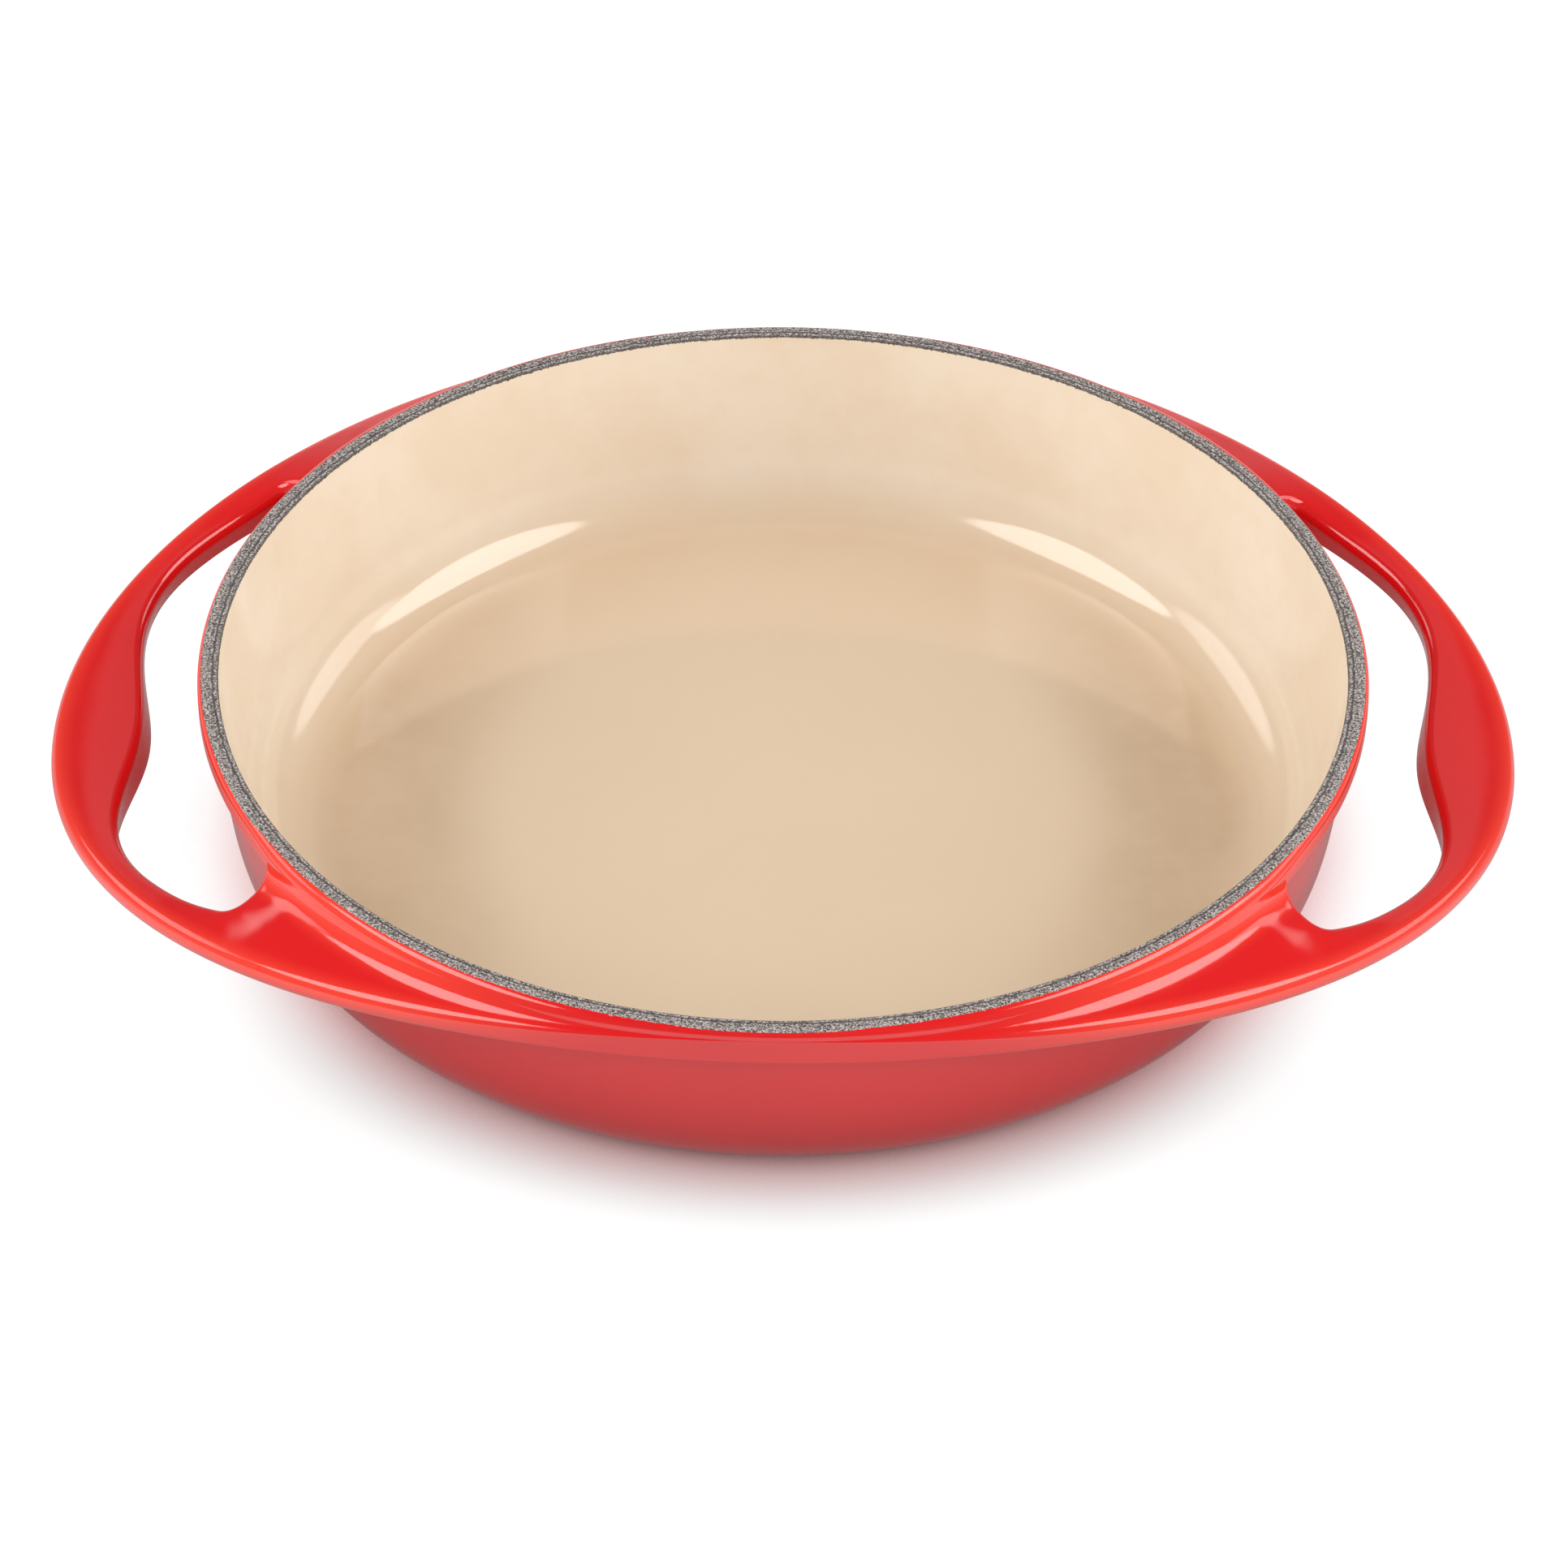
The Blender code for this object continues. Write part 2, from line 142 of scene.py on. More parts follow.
# Points on the sand coat's lip, outward and down in shares of its size
SAND_LIP_CURVE = ((1.2, 0.0), (0.35, 0.3))
# A point on each eased edge of the foot ring, outward or inward and up in shares of the ease
FOOT_OUTER_CURVE = (0.3, 0.35)
FOOT_INNER_CURVE = (0.4, 0.4)

# Steps of each stretch of the form
HOLE_STEPS = 40
WEB_STEPS = 32
TURN_STEPS = 288
WALL_STEPS = 4
HEEL_STEPS = 12
SAND_WALL_STEPS = 6
FILLET_STEPS = 20
FLOOR_STEPS = 10
RECESS_STEPS = 8
BAND_LIP_STEPS = 6
ROUND_STEPS = 5
LIP_STEPS = 6
CROWN_STEPS = 4
COVE_STEPS = 9
CORNER_STEPS = 10
CORNER_TURN = math.radians(3.5)
HALVINGS = 40
WELD = 0.001 * MM

collar_radius = MOUTH_RADIUS + BAND_WIDTH + COLLAR_ROUNDING
collar_top = RIM_HEIGHT - COLLAR_ROUNDING
collar_bottom = collar_top - COLLAR_SIDE
floor_height = FOOT_RECESS + FLOOR_THICKNESS
handle_radius = collar_radius + HANDLE_REACH
ledge_radius = collar_radius + FRONT_LEDGE
band_radius = MOUTH_RADIUS + BAND_WIDTH
flange_height = RIM_HEIGHT - FLANGE_SET_DOWN
corner_half = CORNER_STEPS // 2


def inner_radius(z):
    return MOUTH_RADIUS - INNER_TAPER * (RIM_HEIGHT - z)


def outer_radius(z):
    depth = (RIM_HEIGHT - z) / RIM_HEIGHT
    return inner_radius(z) + WALL_AT_RIM + (WALL_AT_FLOOR - WALL_AT_RIM) * depth


foot_radius = outer_radius(0) - HEEL_WIDTH
foot_inner_radius = foot_radius - FOOT_WIDTH


def spread(count, start=0.0, end=1.0):
    """Evenly spaced values from start to end, both included."""
    return [start + (end - start) * step / count for step in range(count + 1)]


def blunted(room, size):
    """A size where there is room for it, and less where there isn't, with a smooth change."""
    return room * size / (room**4 + size**4) ** 0.25


def polar(direction, radius, z):
    return Vector((radius * math.cos(direction), radius * math.sin(direction), z))


def along(direction, path):
    """The points of a radius and height path, in one direction from the axis."""
    return [polar(direction, radius, z) for radius, z in path]


# Outline and heights of the flange


def reach(direction):
    """Radius of the flange's outline: a superellipse that touches the collar front and back."""
    across = abs(math.cos(direction) / handle_radius) ** OUTLINE_SQUARENESS
    deep = abs(math.sin(direction) / ledge_radius) ** OUTLINE_SQUARENESS
    return (across + deep) ** (-1 / OUTLINE_SQUARENESS)


def handle_share(direction):
    """1 at the handle's tip and 0 at the front and back."""
    across = (math.cos(direction) / handle_radius) ** 2
    deep = (math.sin(direction) / ledge_radius) ** 2
    return across / (across + deep)


def flange_top(direction):
    return flange_height - HANDLE_DROP * handle_share(direction)


def flange_bottom(direction):
    """Height of the underside at its inner edge: the handles have a deeper lip there."""
    lip = (GRIP_DEPTH - EDGE_THICKNESS) * handle_share(direction)
    return flange_top(direction) - EDGE_THICKNESS - lip


def ledge(direction):
    return reach(direction) - collar_radius


def middle_radius(direction):
    return collar_radius + ledge(direction) / 2


def smooth_step(at):
    at = min(max(at, 0.0), 1.0)
    return at * at * (3 - 2 * at)


def web_share(direction):
    """0 along the handles and 1 over the webs, where the flange's top climbs to the collar."""
    return smooth_step((direction - CLIMB_START) / (CLIMB_END - CLIMB_START))


def climb(direction):
    """Angle at which the flange's top climbs to the collar. The handles' arms are level."""
    share = web_share(direction)
    fall = flange_height - flange_top(direction)
    return math.atan(FLANGE_CLIMB * fall * share / ledge(direction))


def edge_rounding(direction):
    return blunted(ledge(direction) * EDGE_SHARE, EDGE_ROUNDING)


def top_edge(direction):
    """Radius and height where the flange's top turns down into its outer edge."""
    radius = edge_rounding(direction)
    slope = climb(direction)
    out = reach(direction) - radius * (1 - math.sin(slope))
    return out, flange_top(direction) - radius * (1 - math.cos(slope))


def top_height(direction, radius):
    """Height of the flange's sloping top at a radius."""
    out, z = top_edge(direction)
    return z + math.tan(climb(direction)) * (out - radius)


def collar_rounding(direction):
    """The collar's rounding, which is wider over the webs than over the finger holes."""
    room = blunted(ledge(direction) / SWELL_LEDGE, 1.0)
    return COLLAR_ROUNDING + COLLAR_SWELL * web_share(direction) * room


def grip_swell(y):
    """1 in the middle of the handle and 0 where its arms begin."""
    return math.cos(QUARTER * min(abs(y) / GRIP_HALF_LENGTH, 1.0)) ** 2


def handle_inner(direction, lower=False):
    """Radius of the handle's inner edge, on its top or along its bottom."""
    outline = reach(direction)
    y = outline * math.sin(direction)
    swell = grip_swell(y)
    flare = max(0.0, (y - ROOT_START) / ROOT_LENGTH) ** ROOT_CURVE
    width = ARM_WIDTH + (GRIP_WIDTH - ARM_WIDTH) * swell + ROOT_FLARE * flare
    if lower:
        width += ARM_DRAFT + (GRIP_DRAFT - ARM_DRAFT) * swell
    return outline - width


def hole_end_direction():
    """Direction in which the handle's inner edge turns into the hole's corner."""
    low = 0.0
    high = QUARTER
    for _ in range(HALVINGS):
        middle = (low + high) / 2
        if handle_inner(middle) * math.sin(middle) < HOLE_HALF_LENGTH - HOLE_CORNER / 2:
            low = middle
        else:
            high = middle
    return low


hole_end = hole_end_direction()
hole_root = hole_end + HOLE_END_TURN


# The hole's outline


def bezier(start, corner, end, at):
    return start.lerp(corner, at).lerp(corner.lerp(end, at), at)


def hole_outline(lower=False):
    """The hole's edge in plan: along the handle to its corner, and from the bowl to there."""
    handle = [
        polar(direction, handle_inner(direction, lower), 0)
        for direction in spread(HOLE_STEPS - corner_half, 0.0, hole_end)
    ]
    start = handle[-1]
    heading = (start - handle[-2]).normalized()
    corner = start + heading * HOLE_CORNER_RUN
    radii = [radius for radius, _ in cove_path(hole_root)[: COVE_STEPS + 1]]
    root = polar(hole_root, radii[0], 0)
    back = corner + (root - corner).normalized() * HOLE_CORNER
    rounding = [bezier(start, corner, back, at) for at in spread(CORNER_STEPS)]
    handle += rounding[1 : corner_half + 1]
    end = [root.lerp(back, (radius - radii[0]) / (radii[-1] - radii[0])) for radius in radii]
    end += rounding[corner_half:-1][::-1]
    return handle, end


def normals_of(outline, side):
    """Unit vectors in plan across an outline: to its right for side 1, to its left for -1."""
    normals = []
    for index, _ in enumerate(outline):
        before = outline[max(index - 1, 0)]
        after = outline[min(index + 1, len(outline) - 1)]
        heading = (after - before).normalized()
        normals.append(Vector((heading.y, -heading.x, 0)) * side)
    return normals


# Paths in radius and height


def level_run(start, end, z):
    """The flat stretch from a hollow's end to half the flange's width."""
    return [(start + (end - start) * at, z) for at in spread(corner_half)[1:]]


def collar_path(direction, last=QUARTER):
    """The collar's rounding from the grey band to a last angle."""
    radius = collar_rounding(direction)
    path = []
    for turn in spread(ROUND_STEPS, LIP_TURN, last):
        down = radius * (1 - math.cos(turn))
        path.append((band_radius + radius * math.sin(turn), RIM_HEIGHT - down))
    return path


def flank(direction):
    """The collar's flank, as a tangent of its rounding that the cove joins to the flange's top.

    Gives the corner where it meets the top, its angle and length, and how far the cove reaches
    from that corner along both.
    """
    rounding = collar_rounding(direction)
    slope = climb(direction)
    out, z = top_edge(direction)
    centre = Vector((band_radius, RIM_HEIGHT - rounding))
    edge = Vector((out, z)) - centre
    along_top = edge.x * math.cos(slope) - edge.y * math.sin(slope)
    above = edge.x * math.sin(slope) + edge.y * math.cos(slope)
    room = ((along_top * COVE_ROOM) ** 2 - rounding**2 + above**2) / (2 * (rounding - above))
    radius = blunted(max(room, WELD), COVE_RADIUS)
    away = math.sqrt(max(rounding**2 - above**2 + 2 * radius * (rounding - above), WELD**2))
    angle = min(slope + math.atan2(away, above + radius), FLANK_LIMIT)
    top = centre + Vector((math.sin(angle), math.cos(angle))) * rounding
    drop = top.y - z - math.tan(slope) * (out - top.x)
    length = max(drop / (math.sin(angle) - math.tan(slope) * math.cos(angle)), WELD)
    corner = top + Vector((math.cos(angle), -math.sin(angle))) * length
    size = min(radius * math.tan(max(angle - slope, LEAST_TURN) / 2), length * FLANK_USED)
    return corner, angle, length, size


def cove_path(direction):
    """From the collar's flank round the cove to the middle of the flange's sloping top."""
    corner, angle, length, size = flank(direction)
    slope = climb(direction)
    out, z = top_edge(direction)
    up_flank = Vector((-math.cos(angle), math.sin(angle)))
    start = corner + up_flank * size
    end = corner + Vector((math.cos(slope), -math.sin(slope))) * size
    neck = start + up_flank * (length - size) * (1 - NECK_SHARE)
    path = [neck, neck.lerp(start, 0.5)]
    path += [bezier(start, corner, end, at) for at in spread(COVE_STEPS - 2)]
    foot = end.lerp(Vector((out, z)), 0.5)
    path += [end.lerp(foot, at) for at in spread(corner_half)[1:]]
    return [tuple(point) for point in path]


def under_path(direction):
    """The underside from the wall to half the flange's width."""
    bottom = flange_bottom(direction)
    middle = middle_radius(direction)
    width = blunted((middle - outer_radius(bottom)) * UNDER_SHARE, UNDER_FILLET)
    height = min(width, (bottom - HEEL_HEIGHT) * UNDER_SHARE)
    path = []
    for turn in spread(COVE_STEPS, 0.0, QUARTER):
        out = width * (1 - math.cos(turn))
        z = bottom - height * (1 - math.sin(turn))
        path.append((outer_radius(z) + out, z))
    return path + level_run(path[-1][0], middle, bottom)


def edge_path(direction):
    """The flange's outer edge, from the end of its top round to its underside."""
    radius = edge_rounding(direction)
    outline = reach(direction)
    top = flange_top(direction)
    bottom = top - EDGE_THICKNESS
    path = []
    for turn in spread(ROUND_STEPS, climb(direction), QUARTER):
        drawn_in = radius * (1 - math.sin(turn))
        path.append((outline - drawn_in, top - radius * (1 - math.cos(turn))))
    for turn in spread(ROUND_STEPS, QUARTER, 0.0):
        drawn_in = radius * (1 - math.sin(turn))
        path.append((outline - drawn_in, bottom + radius * (1 - math.cos(turn))))
    return path


def crowned(inner, outer):
    """Points across the flange's top between two of its points, raised over the grip."""
    height = GRIP_CROWN * grip_swell(inner.y)
    points = []
    for at in spread(CROWN_STEPS)[1:-1]:
        points.append(inner.lerp(outer, at) + Vector((0, 0, height * 4 * at * (1 - at))))
    return points


wall_foot = under_path(hole_end)[0][1]


def tuck_path(direction):
    """Under the collar in the finger hole: its tucked edge, the crease and the wall below."""
    crease = collar_bottom - COLLAR_TUCK
    side = band_radius + collar_rounding(direction)
    overhang = side - outer_radius(crease)
    path = []
    for turn in spread(LIP_STEPS, 0.0, QUARTER):
        drawn_in = overhang * (1 - math.cos(turn))
        path.append((side - drawn_in, collar_bottom - COLLAR_TUCK * math.sin(turn)))
    for at in spread(LIP_STEPS + 1)[1:]:
        z = crease + (wall_foot - crease) * at
        path.append((outer_radius(z), z))
    return path


def heel_path(top):
    """The wall below the flange and its curve in to the foot ring."""
    path = [(outer_radius(z), z) for z in spread(WALL_STEPS, top, HEEL_HEIGHT)[:-1]]
    last = math.acos((HEEL_LIP / HEEL_WIDTH) ** (HEEL_SQUARENESS / 2))
    for turn in spread(HEEL_STEPS, 0.0, last):
        z = HEEL_HEIGHT * (1 - math.sin(turn) ** (2 / HEEL_SQUARENESS))
        drawn_in = HEEL_WIDTH * (1 - math.cos(turn) ** (2 / HEEL_SQUARENESS))
        path.append((outer_radius(z) - drawn_in, z))
    return path


# The outside of one quarter, as sheets of points that share their borders


def sheet(mesh, rows):
    """Quads between rows of points."""
    grid = [[mesh.verts.new(point) for point in row] for row in rows]
    for upper, lower in zip(grid, grid[1:]):
        for index in range(len(upper) - 1):
            mesh.faces.new((upper[index], upper[index + 1], lower[index + 1], lower[index]))


def lip_column(top, bottom, normal, low_normal, ease, height_at, z_bottom):
    """The hole's side at one point of its edge, rounded into the top and the underside."""
    start = top + normal * ease
    z_top = height_at(start)
    column = []
    for turn in spread(LIP_STEPS, 0.0, QUARTER):
        out = ease * (1 - math.sin(turn))
        down = ease * (1 - math.cos(turn))
        column.append(top + normal * out + Vector((0, 0, z_top - down)))
    for turn in spread(LIP_STEPS, QUARTER, 0.0):
        out = HOLE_UNDER_ROUNDING * (1 - math.sin(turn))
        up = HOLE_UNDER_ROUNDING * (1 - math.cos(turn))
        column.append(bottom + low_normal * out + Vector((0, 0, z_bottom + up)))
    return column


def direction_of(point):
    return math.atan2(point.y, point.x)


def height_on(path, radius):
    """Height of a path at a radius."""
    for (r0, z0), (r1, z1) in zip(path, path[1:]):
        if r0 <= radius <= r1:
            return z0 + (z1 - z0) * (radius - r0) / (r1 - r0)
    return path[-1][1] if radius > path[-1][0] else path[0][1]


def web_height(point):
    return height_on(cove_path(direction_of(point)), point.length)


def end_columns():
    """The hole's end wall: one column of points for each point of its end edge."""
    upper = hole_outline()[1]
    lower = hole_outline(lower=True)[1]
    normals = normals_of(upper, -1)
    low_normals = normals_of(lower, -1)
    columns = []
    for index in range(1, len(upper)):
        low = lower[index]
        z_bottom = height_on(under_path(direction_of(low)), low.length)
        ease = blunted(HOLE_ROOT_ROUNDING + (upper[index] - upper[0]).length, HOLE_ROUNDING)
        edges = (upper[index], low, normals[index], low_normals[index])
        columns.append(lip_column(*edges, ease, web_height, z_bottom))
    wall = tuck_path(hole_root)
    wall[0] = cove_path(hole_root)[0]
    return [along(hole_root, wall)] + columns


def handle_height(point):
    return top_height(direction_of(point), point.length)


def handle_columns():
    """The handle's inner side, from its middle to the hole's corner."""
    upper = hole_outline()[0]
    lower = hole_outline(lower=True)[0]
    normals = normals_of(upper, 1)
    low_normals = normals_of(lower, 1)
    normals[0] = low_normals[0] = Vector((1, 0, 0))
    columns = []
    for index, top in enumerate(upper):
        z_bottom = flange_bottom(direction_of(top))
        edges = (top, lower[index], normals[index], low_normals[index])
        columns.append(lip_column(*edges, HOLE_ROUNDING, handle_height, z_bottom))
    return columns


def add_outside(mesh):
    """The outside of one quarter, from the collar's rounding to the heel."""
    hole_directions = spread(HOLE_STEPS - corner_half, 0.0, hole_end)
    hole_directions += spread(corner_half, hole_end, hole_end + CORNER_TURN)[1:]
    web_directions = spread(WEB_STEPS, hole_directions[-1], QUARTER)[1:]
    bowl_hole = spread(HOLE_STEPS, 0.0, hole_root)
    bowl_directions = bowl_hole + spread(WEB_STEPS, hole_root, QUARTER)[1:]

    end_wall = end_columns()
    hole_side = handle_columns()
    hole_side[-1] = end_wall[-1]
    tucks = [along(direction, tuck_path(direction)) for direction in bowl_hole]
    tucks[-1] = end_wall[0]
    coves = [along(direction, cove_path(direction)) for direction in web_directions]
    unders = [along(direction, under_path(direction)) for direction in web_directions]

    necks = [column[0] for column in tucks] + [path[0] for path in coves]
    tops = [column[0] for column in hole_side] + [path[-1] for path in coves]
    bottoms = [column[-1] for column in hole_side] + [path[-1] for path in unders]
    walls = [column[-1] for column in tucks] + [path[0] for path in unders]

    collars = []
    heels = []
    for direction, neck, wall in zip(bowl_directions, necks, walls):
        last = flank(direction)[1] if direction > hole_root - WELD else QUARTER
        collars.append(along(direction, collar_path(direction, last)) + [neck])
        heels.append([wall] + along(direction, heel_path(wall.z))[1:])
    edges = []
    for direction, top, bottom in zip(hole_directions + web_directions, tops, bottoms):
        edge = along(direction, edge_path(direction))
        edges.append([top] + crowned(top, edge[0]) + edge + [bottom])

    sheet(mesh, collars)
    sheet(mesh, tucks)
    sheet(mesh, [[column[0] for column in end_wall]] + coves)
    sheet(mesh, edges)
    sheet(mesh, [[column[-1] for column in end_wall]] + unders)
    sheet(mesh, hole_side)
    sheet(mesh, end_wall)
    sheet(mesh, heels)


def mirrored(mesh):
    """The whole form from its first quarter, with its seams and shared borders welded."""
    bmesh.ops.remove_doubles(mesh, verts=mesh.verts, dist=WELD)
    for axis in ("X", "Y"):
        geometry = mesh.verts[:] + mesh.edges[:] + mesh.faces[:]
        bmesh.ops.mirror(mesh, geom=geometry, axis=axis, merge_dist=WELD)
    bmesh.ops.recalc_face_normals(mesh, faces=mesh.faces)


# Turned pieces


def turned(path):
    """A closed profile in radius and height, turned about Z."""
    mesh = bmesh.new()
    directions = spread(TURN_STEPS, 0.0, 2 * math.pi)
    sheet(mesh, [along(direction, path) for direction in directions])
    bmesh.ops.remove_doubles(mesh, verts=mesh.verts, dist=WELD)
    bmesh.ops.dissolve_degenerate(mesh, edges=mesh.edges, dist=WELD)
    bmesh.ops.recalc_face_normals(mesh, faces=mesh.faces)
    return mesh


def arc(centre, radius, start, end, steps):
    """Points round a centre in radius and height, from one angle to another."""
    points = []
    for turn in spread(steps, start, end):
        points.append((centre[0] + radius * math.cos(turn), centre[1] + radius * math.sin(turn)))
    return points


def interior_profile():
    """The sand coat's section: its lip under the rim, the wall, fillet and floor, and its back."""
    slope = math.atan(INNER_TAPER)
    centre_z = floor_height + FLOOR_FILLET
    centre_r = inner_radius(centre_z) - FLOOR_FILLET / math.cos(slope)
    top = RIM_HEIGHT - SAND_SET_DOWN
    below = top - SAND_LIP
    front = []
    for out, down in SAND_LIP_CURVE:
        front.append((inner_radius(top) + SAND_LIP * out, top - SAND_LIP * down))
    front += [(inner_radius(below), below)]
    wall = spread(SAND_WALL_STEPS, top - SAND_LIP * 2, centre_z)[:-1]
    front += [(inner_radius(z), z) for z in wall]
    front += arc((centre_r, centre_z), FLOOR_FILLET, -slope, -QUARTER, FILLET_STEPS)
    front += [(centre_r * at, floor_height) for at in spread(FLOOR_STEPS, 1.0, 0.0)[1:]]
    back = [(0.0, floor_height - COAT)]
    back += arc((centre_r, centre_z), FLOOR_FILLET + COAT, -QUARTER, -slope, FILLET_STEPS)
    back += [(inner_radius(top) + COAT, below)]
    return front + back + front[:1]


def rim_profile():
    """The bare rim's section: inner bevel, flat top and the start of the collar's rounding."""
    points = []
    for out, down in RIM_BEVEL + RIM_FLAT:
        points.append((MOUTH_RADIUS + out * MM, RIM_HEIGHT - down * MM))
    sunk = COLLAR_ROUNDING - BAND_SINK
    last = QUARTER - BAND_LIP_TURN
    points += arc((band_radius, collar_top), sunk, QUARTER, last, BAND_LIP_STEPS)
    back = RIM_HEIGHT - BAND_DEPTH
    points += [(band_radius + BAND_BACK_OUTWARD, back), (MOUTH_RADIUS + BAND_BACK_INWARD, back)]
    return points + points[:1]


def foot_profile():
    """The foot ring's section, with both edges eased."""
    ease = FOOT_EASE
    recess = foot_inner_radius - FOOT_RECESS
    out, up = FOOT_OUTER_CURVE
    points = [(foot_radius + ease, FOOT_BACK), (foot_radius + ease * out, ease * up)]
    points += [(foot_radius - ease, 0.0), (foot_inner_radius + ease, 0.0)]
    inward, up = FOOT_INNER_CURVE
    points += [(foot_inner_radius - ease * inward, ease * up)]
    points += [(recess, FOOT_RECESS), (recess, FOOT_RECESS + COAT)]
    points += [(foot_inner_radius, FOOT_RECESS), (foot_radius - ease, COAT)]
    return points + points[:1]


def underside_profile():
    """The thin red coat over the recess inside the foot ring."""
    edge = foot_inner_radius - FOOT_RECESS + RECESS_OVERLAP
    back = FOOT_RECESS + COAT
    points = [(0.0, FOOT_RECESS)]
    points += [(edge * at, FOOT_RECESS) for at in spread(RECESS_STEPS)[1:-1]]
    points += [(edge - RECESS_EASE, FOOT_RECESS), (edge, FOOT_RECESS + RECESS_RISE)]
    return points + [(edge, back), (0.0, back)]


# Material nodes


def node(tree, kind, sockets=None, **settings):
    """A shader node with its settings, its values and the links into it."""
    made = tree.nodes.new("ShaderNode" + kind)
    for key, value in settings.items():
        setattr(made, key, value)
    for key, value in (sockets or {}).items():
        if isinstance(value, bpy.types.NodeSocket):
            tree.links.new(value, made.inputs[key])
        else:
            made.inputs[key].default_value = value
    return made


def maths(tree, operation, first, second=0.0, clamp=False):
    made = node(tree, "Math", {0: first, 1: second}, operation=operation, use_clamp=clamp)
    return made.outputs[0]


def product(tree, first, second):
    return maths(tree, "MULTIPLY", first, second)


def opposite(tree, share):
    """1 where a share is 0, and 0 where it is 1."""
    return maths(tree, "SUBTRACT", 1.0, share)


def size_of(tree, value):
    return maths(tree, "ABSOLUTE", value)


def step_between(tree, value, low, high):
    """0 below one value and 1 above another, with a smooth change."""
    sockets = {"Value": value, "From Min": low, "From Max": high}
    return node(tree, "MapRange", sockets, interpolation_type="SMOOTHSTEP").outputs["Result"]


def blend(tree, factor, first, second):
    return node(tree, "Mix", {0: factor, 6: first, 7: second}, data_type="RGBA").outputs[2]


def noise(tree, place, grain):
    """A noise whose grain is its scale, detail and roughness."""
    scale, detail, roughness = grain
    sockets = {"Vector": place, "Scale": scale, "Detail": detail, "Roughness": roughness}
    return node(tree, "TexNoise", sockets).outputs["Fac"]


def new_material(name):
    """An empty node material with its Principled shader, and the place on the object."""
    material = bpy.data.materials.new(name)
    material.use_nodes = True
    tree = material.node_tree
    shader = tree.nodes["Principled BSDF"]
    place = node(tree, "TexCoord").outputs["Object"]
    return material, tree, shader, place


def radius_of(tree, place):
    """Distance from the dish's axis, and the place's three parts."""
    parts = node(tree, "SeparateXYZ", {0: place}).outputs
    flat = node(tree, "CombineXYZ", {0: parts[0], 1: parts[1]}).outputs[0]
    length = node(tree, "VectorMath", {0: flat}, operation="LENGTH").outputs["Value"]
    return length, parts


def add_bump(tree, shader, height, distance):
    bump = node(tree, "Bump", {"Strength": 1.0, "Distance": distance, "Height": height})
    tree.links.new(bump.outputs[0], shader.inputs["Normal"])


def wander(tree, place, grain, width):
    """A shift to either side that follows a noise and stays within a width."""
    grains = noise(tree, place, grain)
    return product(tree, maths(tree, "SUBTRACT", grains, 0.5), width)


# Bare ground coat: its grains from dark to pale, and where it darkens beside the mouth
GROUND_GRAIN = (2300.0, 2.0, 0.7)
GRAIN_DARK = (0.38, (0.035, 0.03, 0.027, 1))
GRAIN_MIDDLE = (0.5, (0.25, 0.215, 0.2, 1))
GRAIN_PALE = (0.6, (0.6, 0.54, 0.51, 1))
GROUND_PATCHES = (420.0, 2.0, 0.6)
GROUND_WANDER = 0.9 * MM
MOUTH_EDGE = 0.4 * MM
MOUTH_SHARE = 0.8
MOUTH_COLOUR = (0.07, 0.06, 0.052, 1)
GROUND_ROUGHNESS = 0.7
GROUND_BUMP = 0.15 * MM

# Dark lines round the rim: each one's distance from the mouth, half width and depth
RIM_LINES = ((1.15 * MM, 0.42 * MM, 0.6), (2.05 * MM, 0.3 * MM, 0.1))
LINE_CORE = 0.04 * MM
LINE_GRAIN = 0.5
LINE_COLOUR = (0.05, 0.04, 0.036, 1)


def ground_grains(tree, place):
    return noise(tree, place, GROUND_GRAIN)


def ground_coat(tree, place, radius, grains):
    """Colour of the bare, speckled ground coat: pale and dark grains and thin dark lines."""
    colour = node(tree, "ValToRGB", {0: grains})
    stops = colour.color_ramp.elements
    stops[0].position, stops[0].color = GRAIN_DARK
    stops[1].position, stops[1].color = GRAIN_PALE
    position, middle = GRAIN_MIDDLE
    stops.new(position).color = middle
    shift = wander(tree, place, GROUND_PATCHES, GROUND_WANDER)
    inner = maths(tree, "ADD", radius, shift)
    lined = colour.outputs[0]
    for across, half, depth in RIM_LINES:
        away = size_of(tree, maths(tree, "SUBTRACT", inner, MOUTH_RADIUS + across))
        line = opposite(tree, step_between(tree, away, LINE_CORE, half))
        strength = maths(tree, "ADD", depth, product(tree, grains, LINE_GRAIN))
        line = maths(tree, "MULTIPLY", line, strength, clamp=True)
        lined = blend(tree, line, lined, LINE_COLOUR)
    edge = opposite(tree, step_between(tree, inner, MOUTH_RADIUS, MOUTH_RADIUS + MOUTH_EDGE))
    return blend(tree, product(tree, edge, MOUTH_SHARE), lined, MOUTH_COLOUR)


# Gloss enamel, which is alike inside and outside but for its ripple
ENAMEL_IOR = 1.62
GLOSS = 0.07
SHEEN = 0.05
SHEEN_GRAIN = (60.0, 4.0, 0.5)
BARE_ROUGHNESS = 0.75
RAGGED_GRAIN = (1500.0, 3.0, 0.7)
RED_RIPPLE = (75.0, 2.0, 0.5)
RED_RIPPLE_HEIGHT = 0.10 * MM
SAND_RIPPLE = (55.0, 2.0, 0.5)
SAND_RIPPLE_HEIGHT = 0.08 * MM


def ragged(tree, place, width):
    """The ragged wander of an enamel's border on the rim."""
    return wander(tree, place, RAGGED_GRAIN, width)


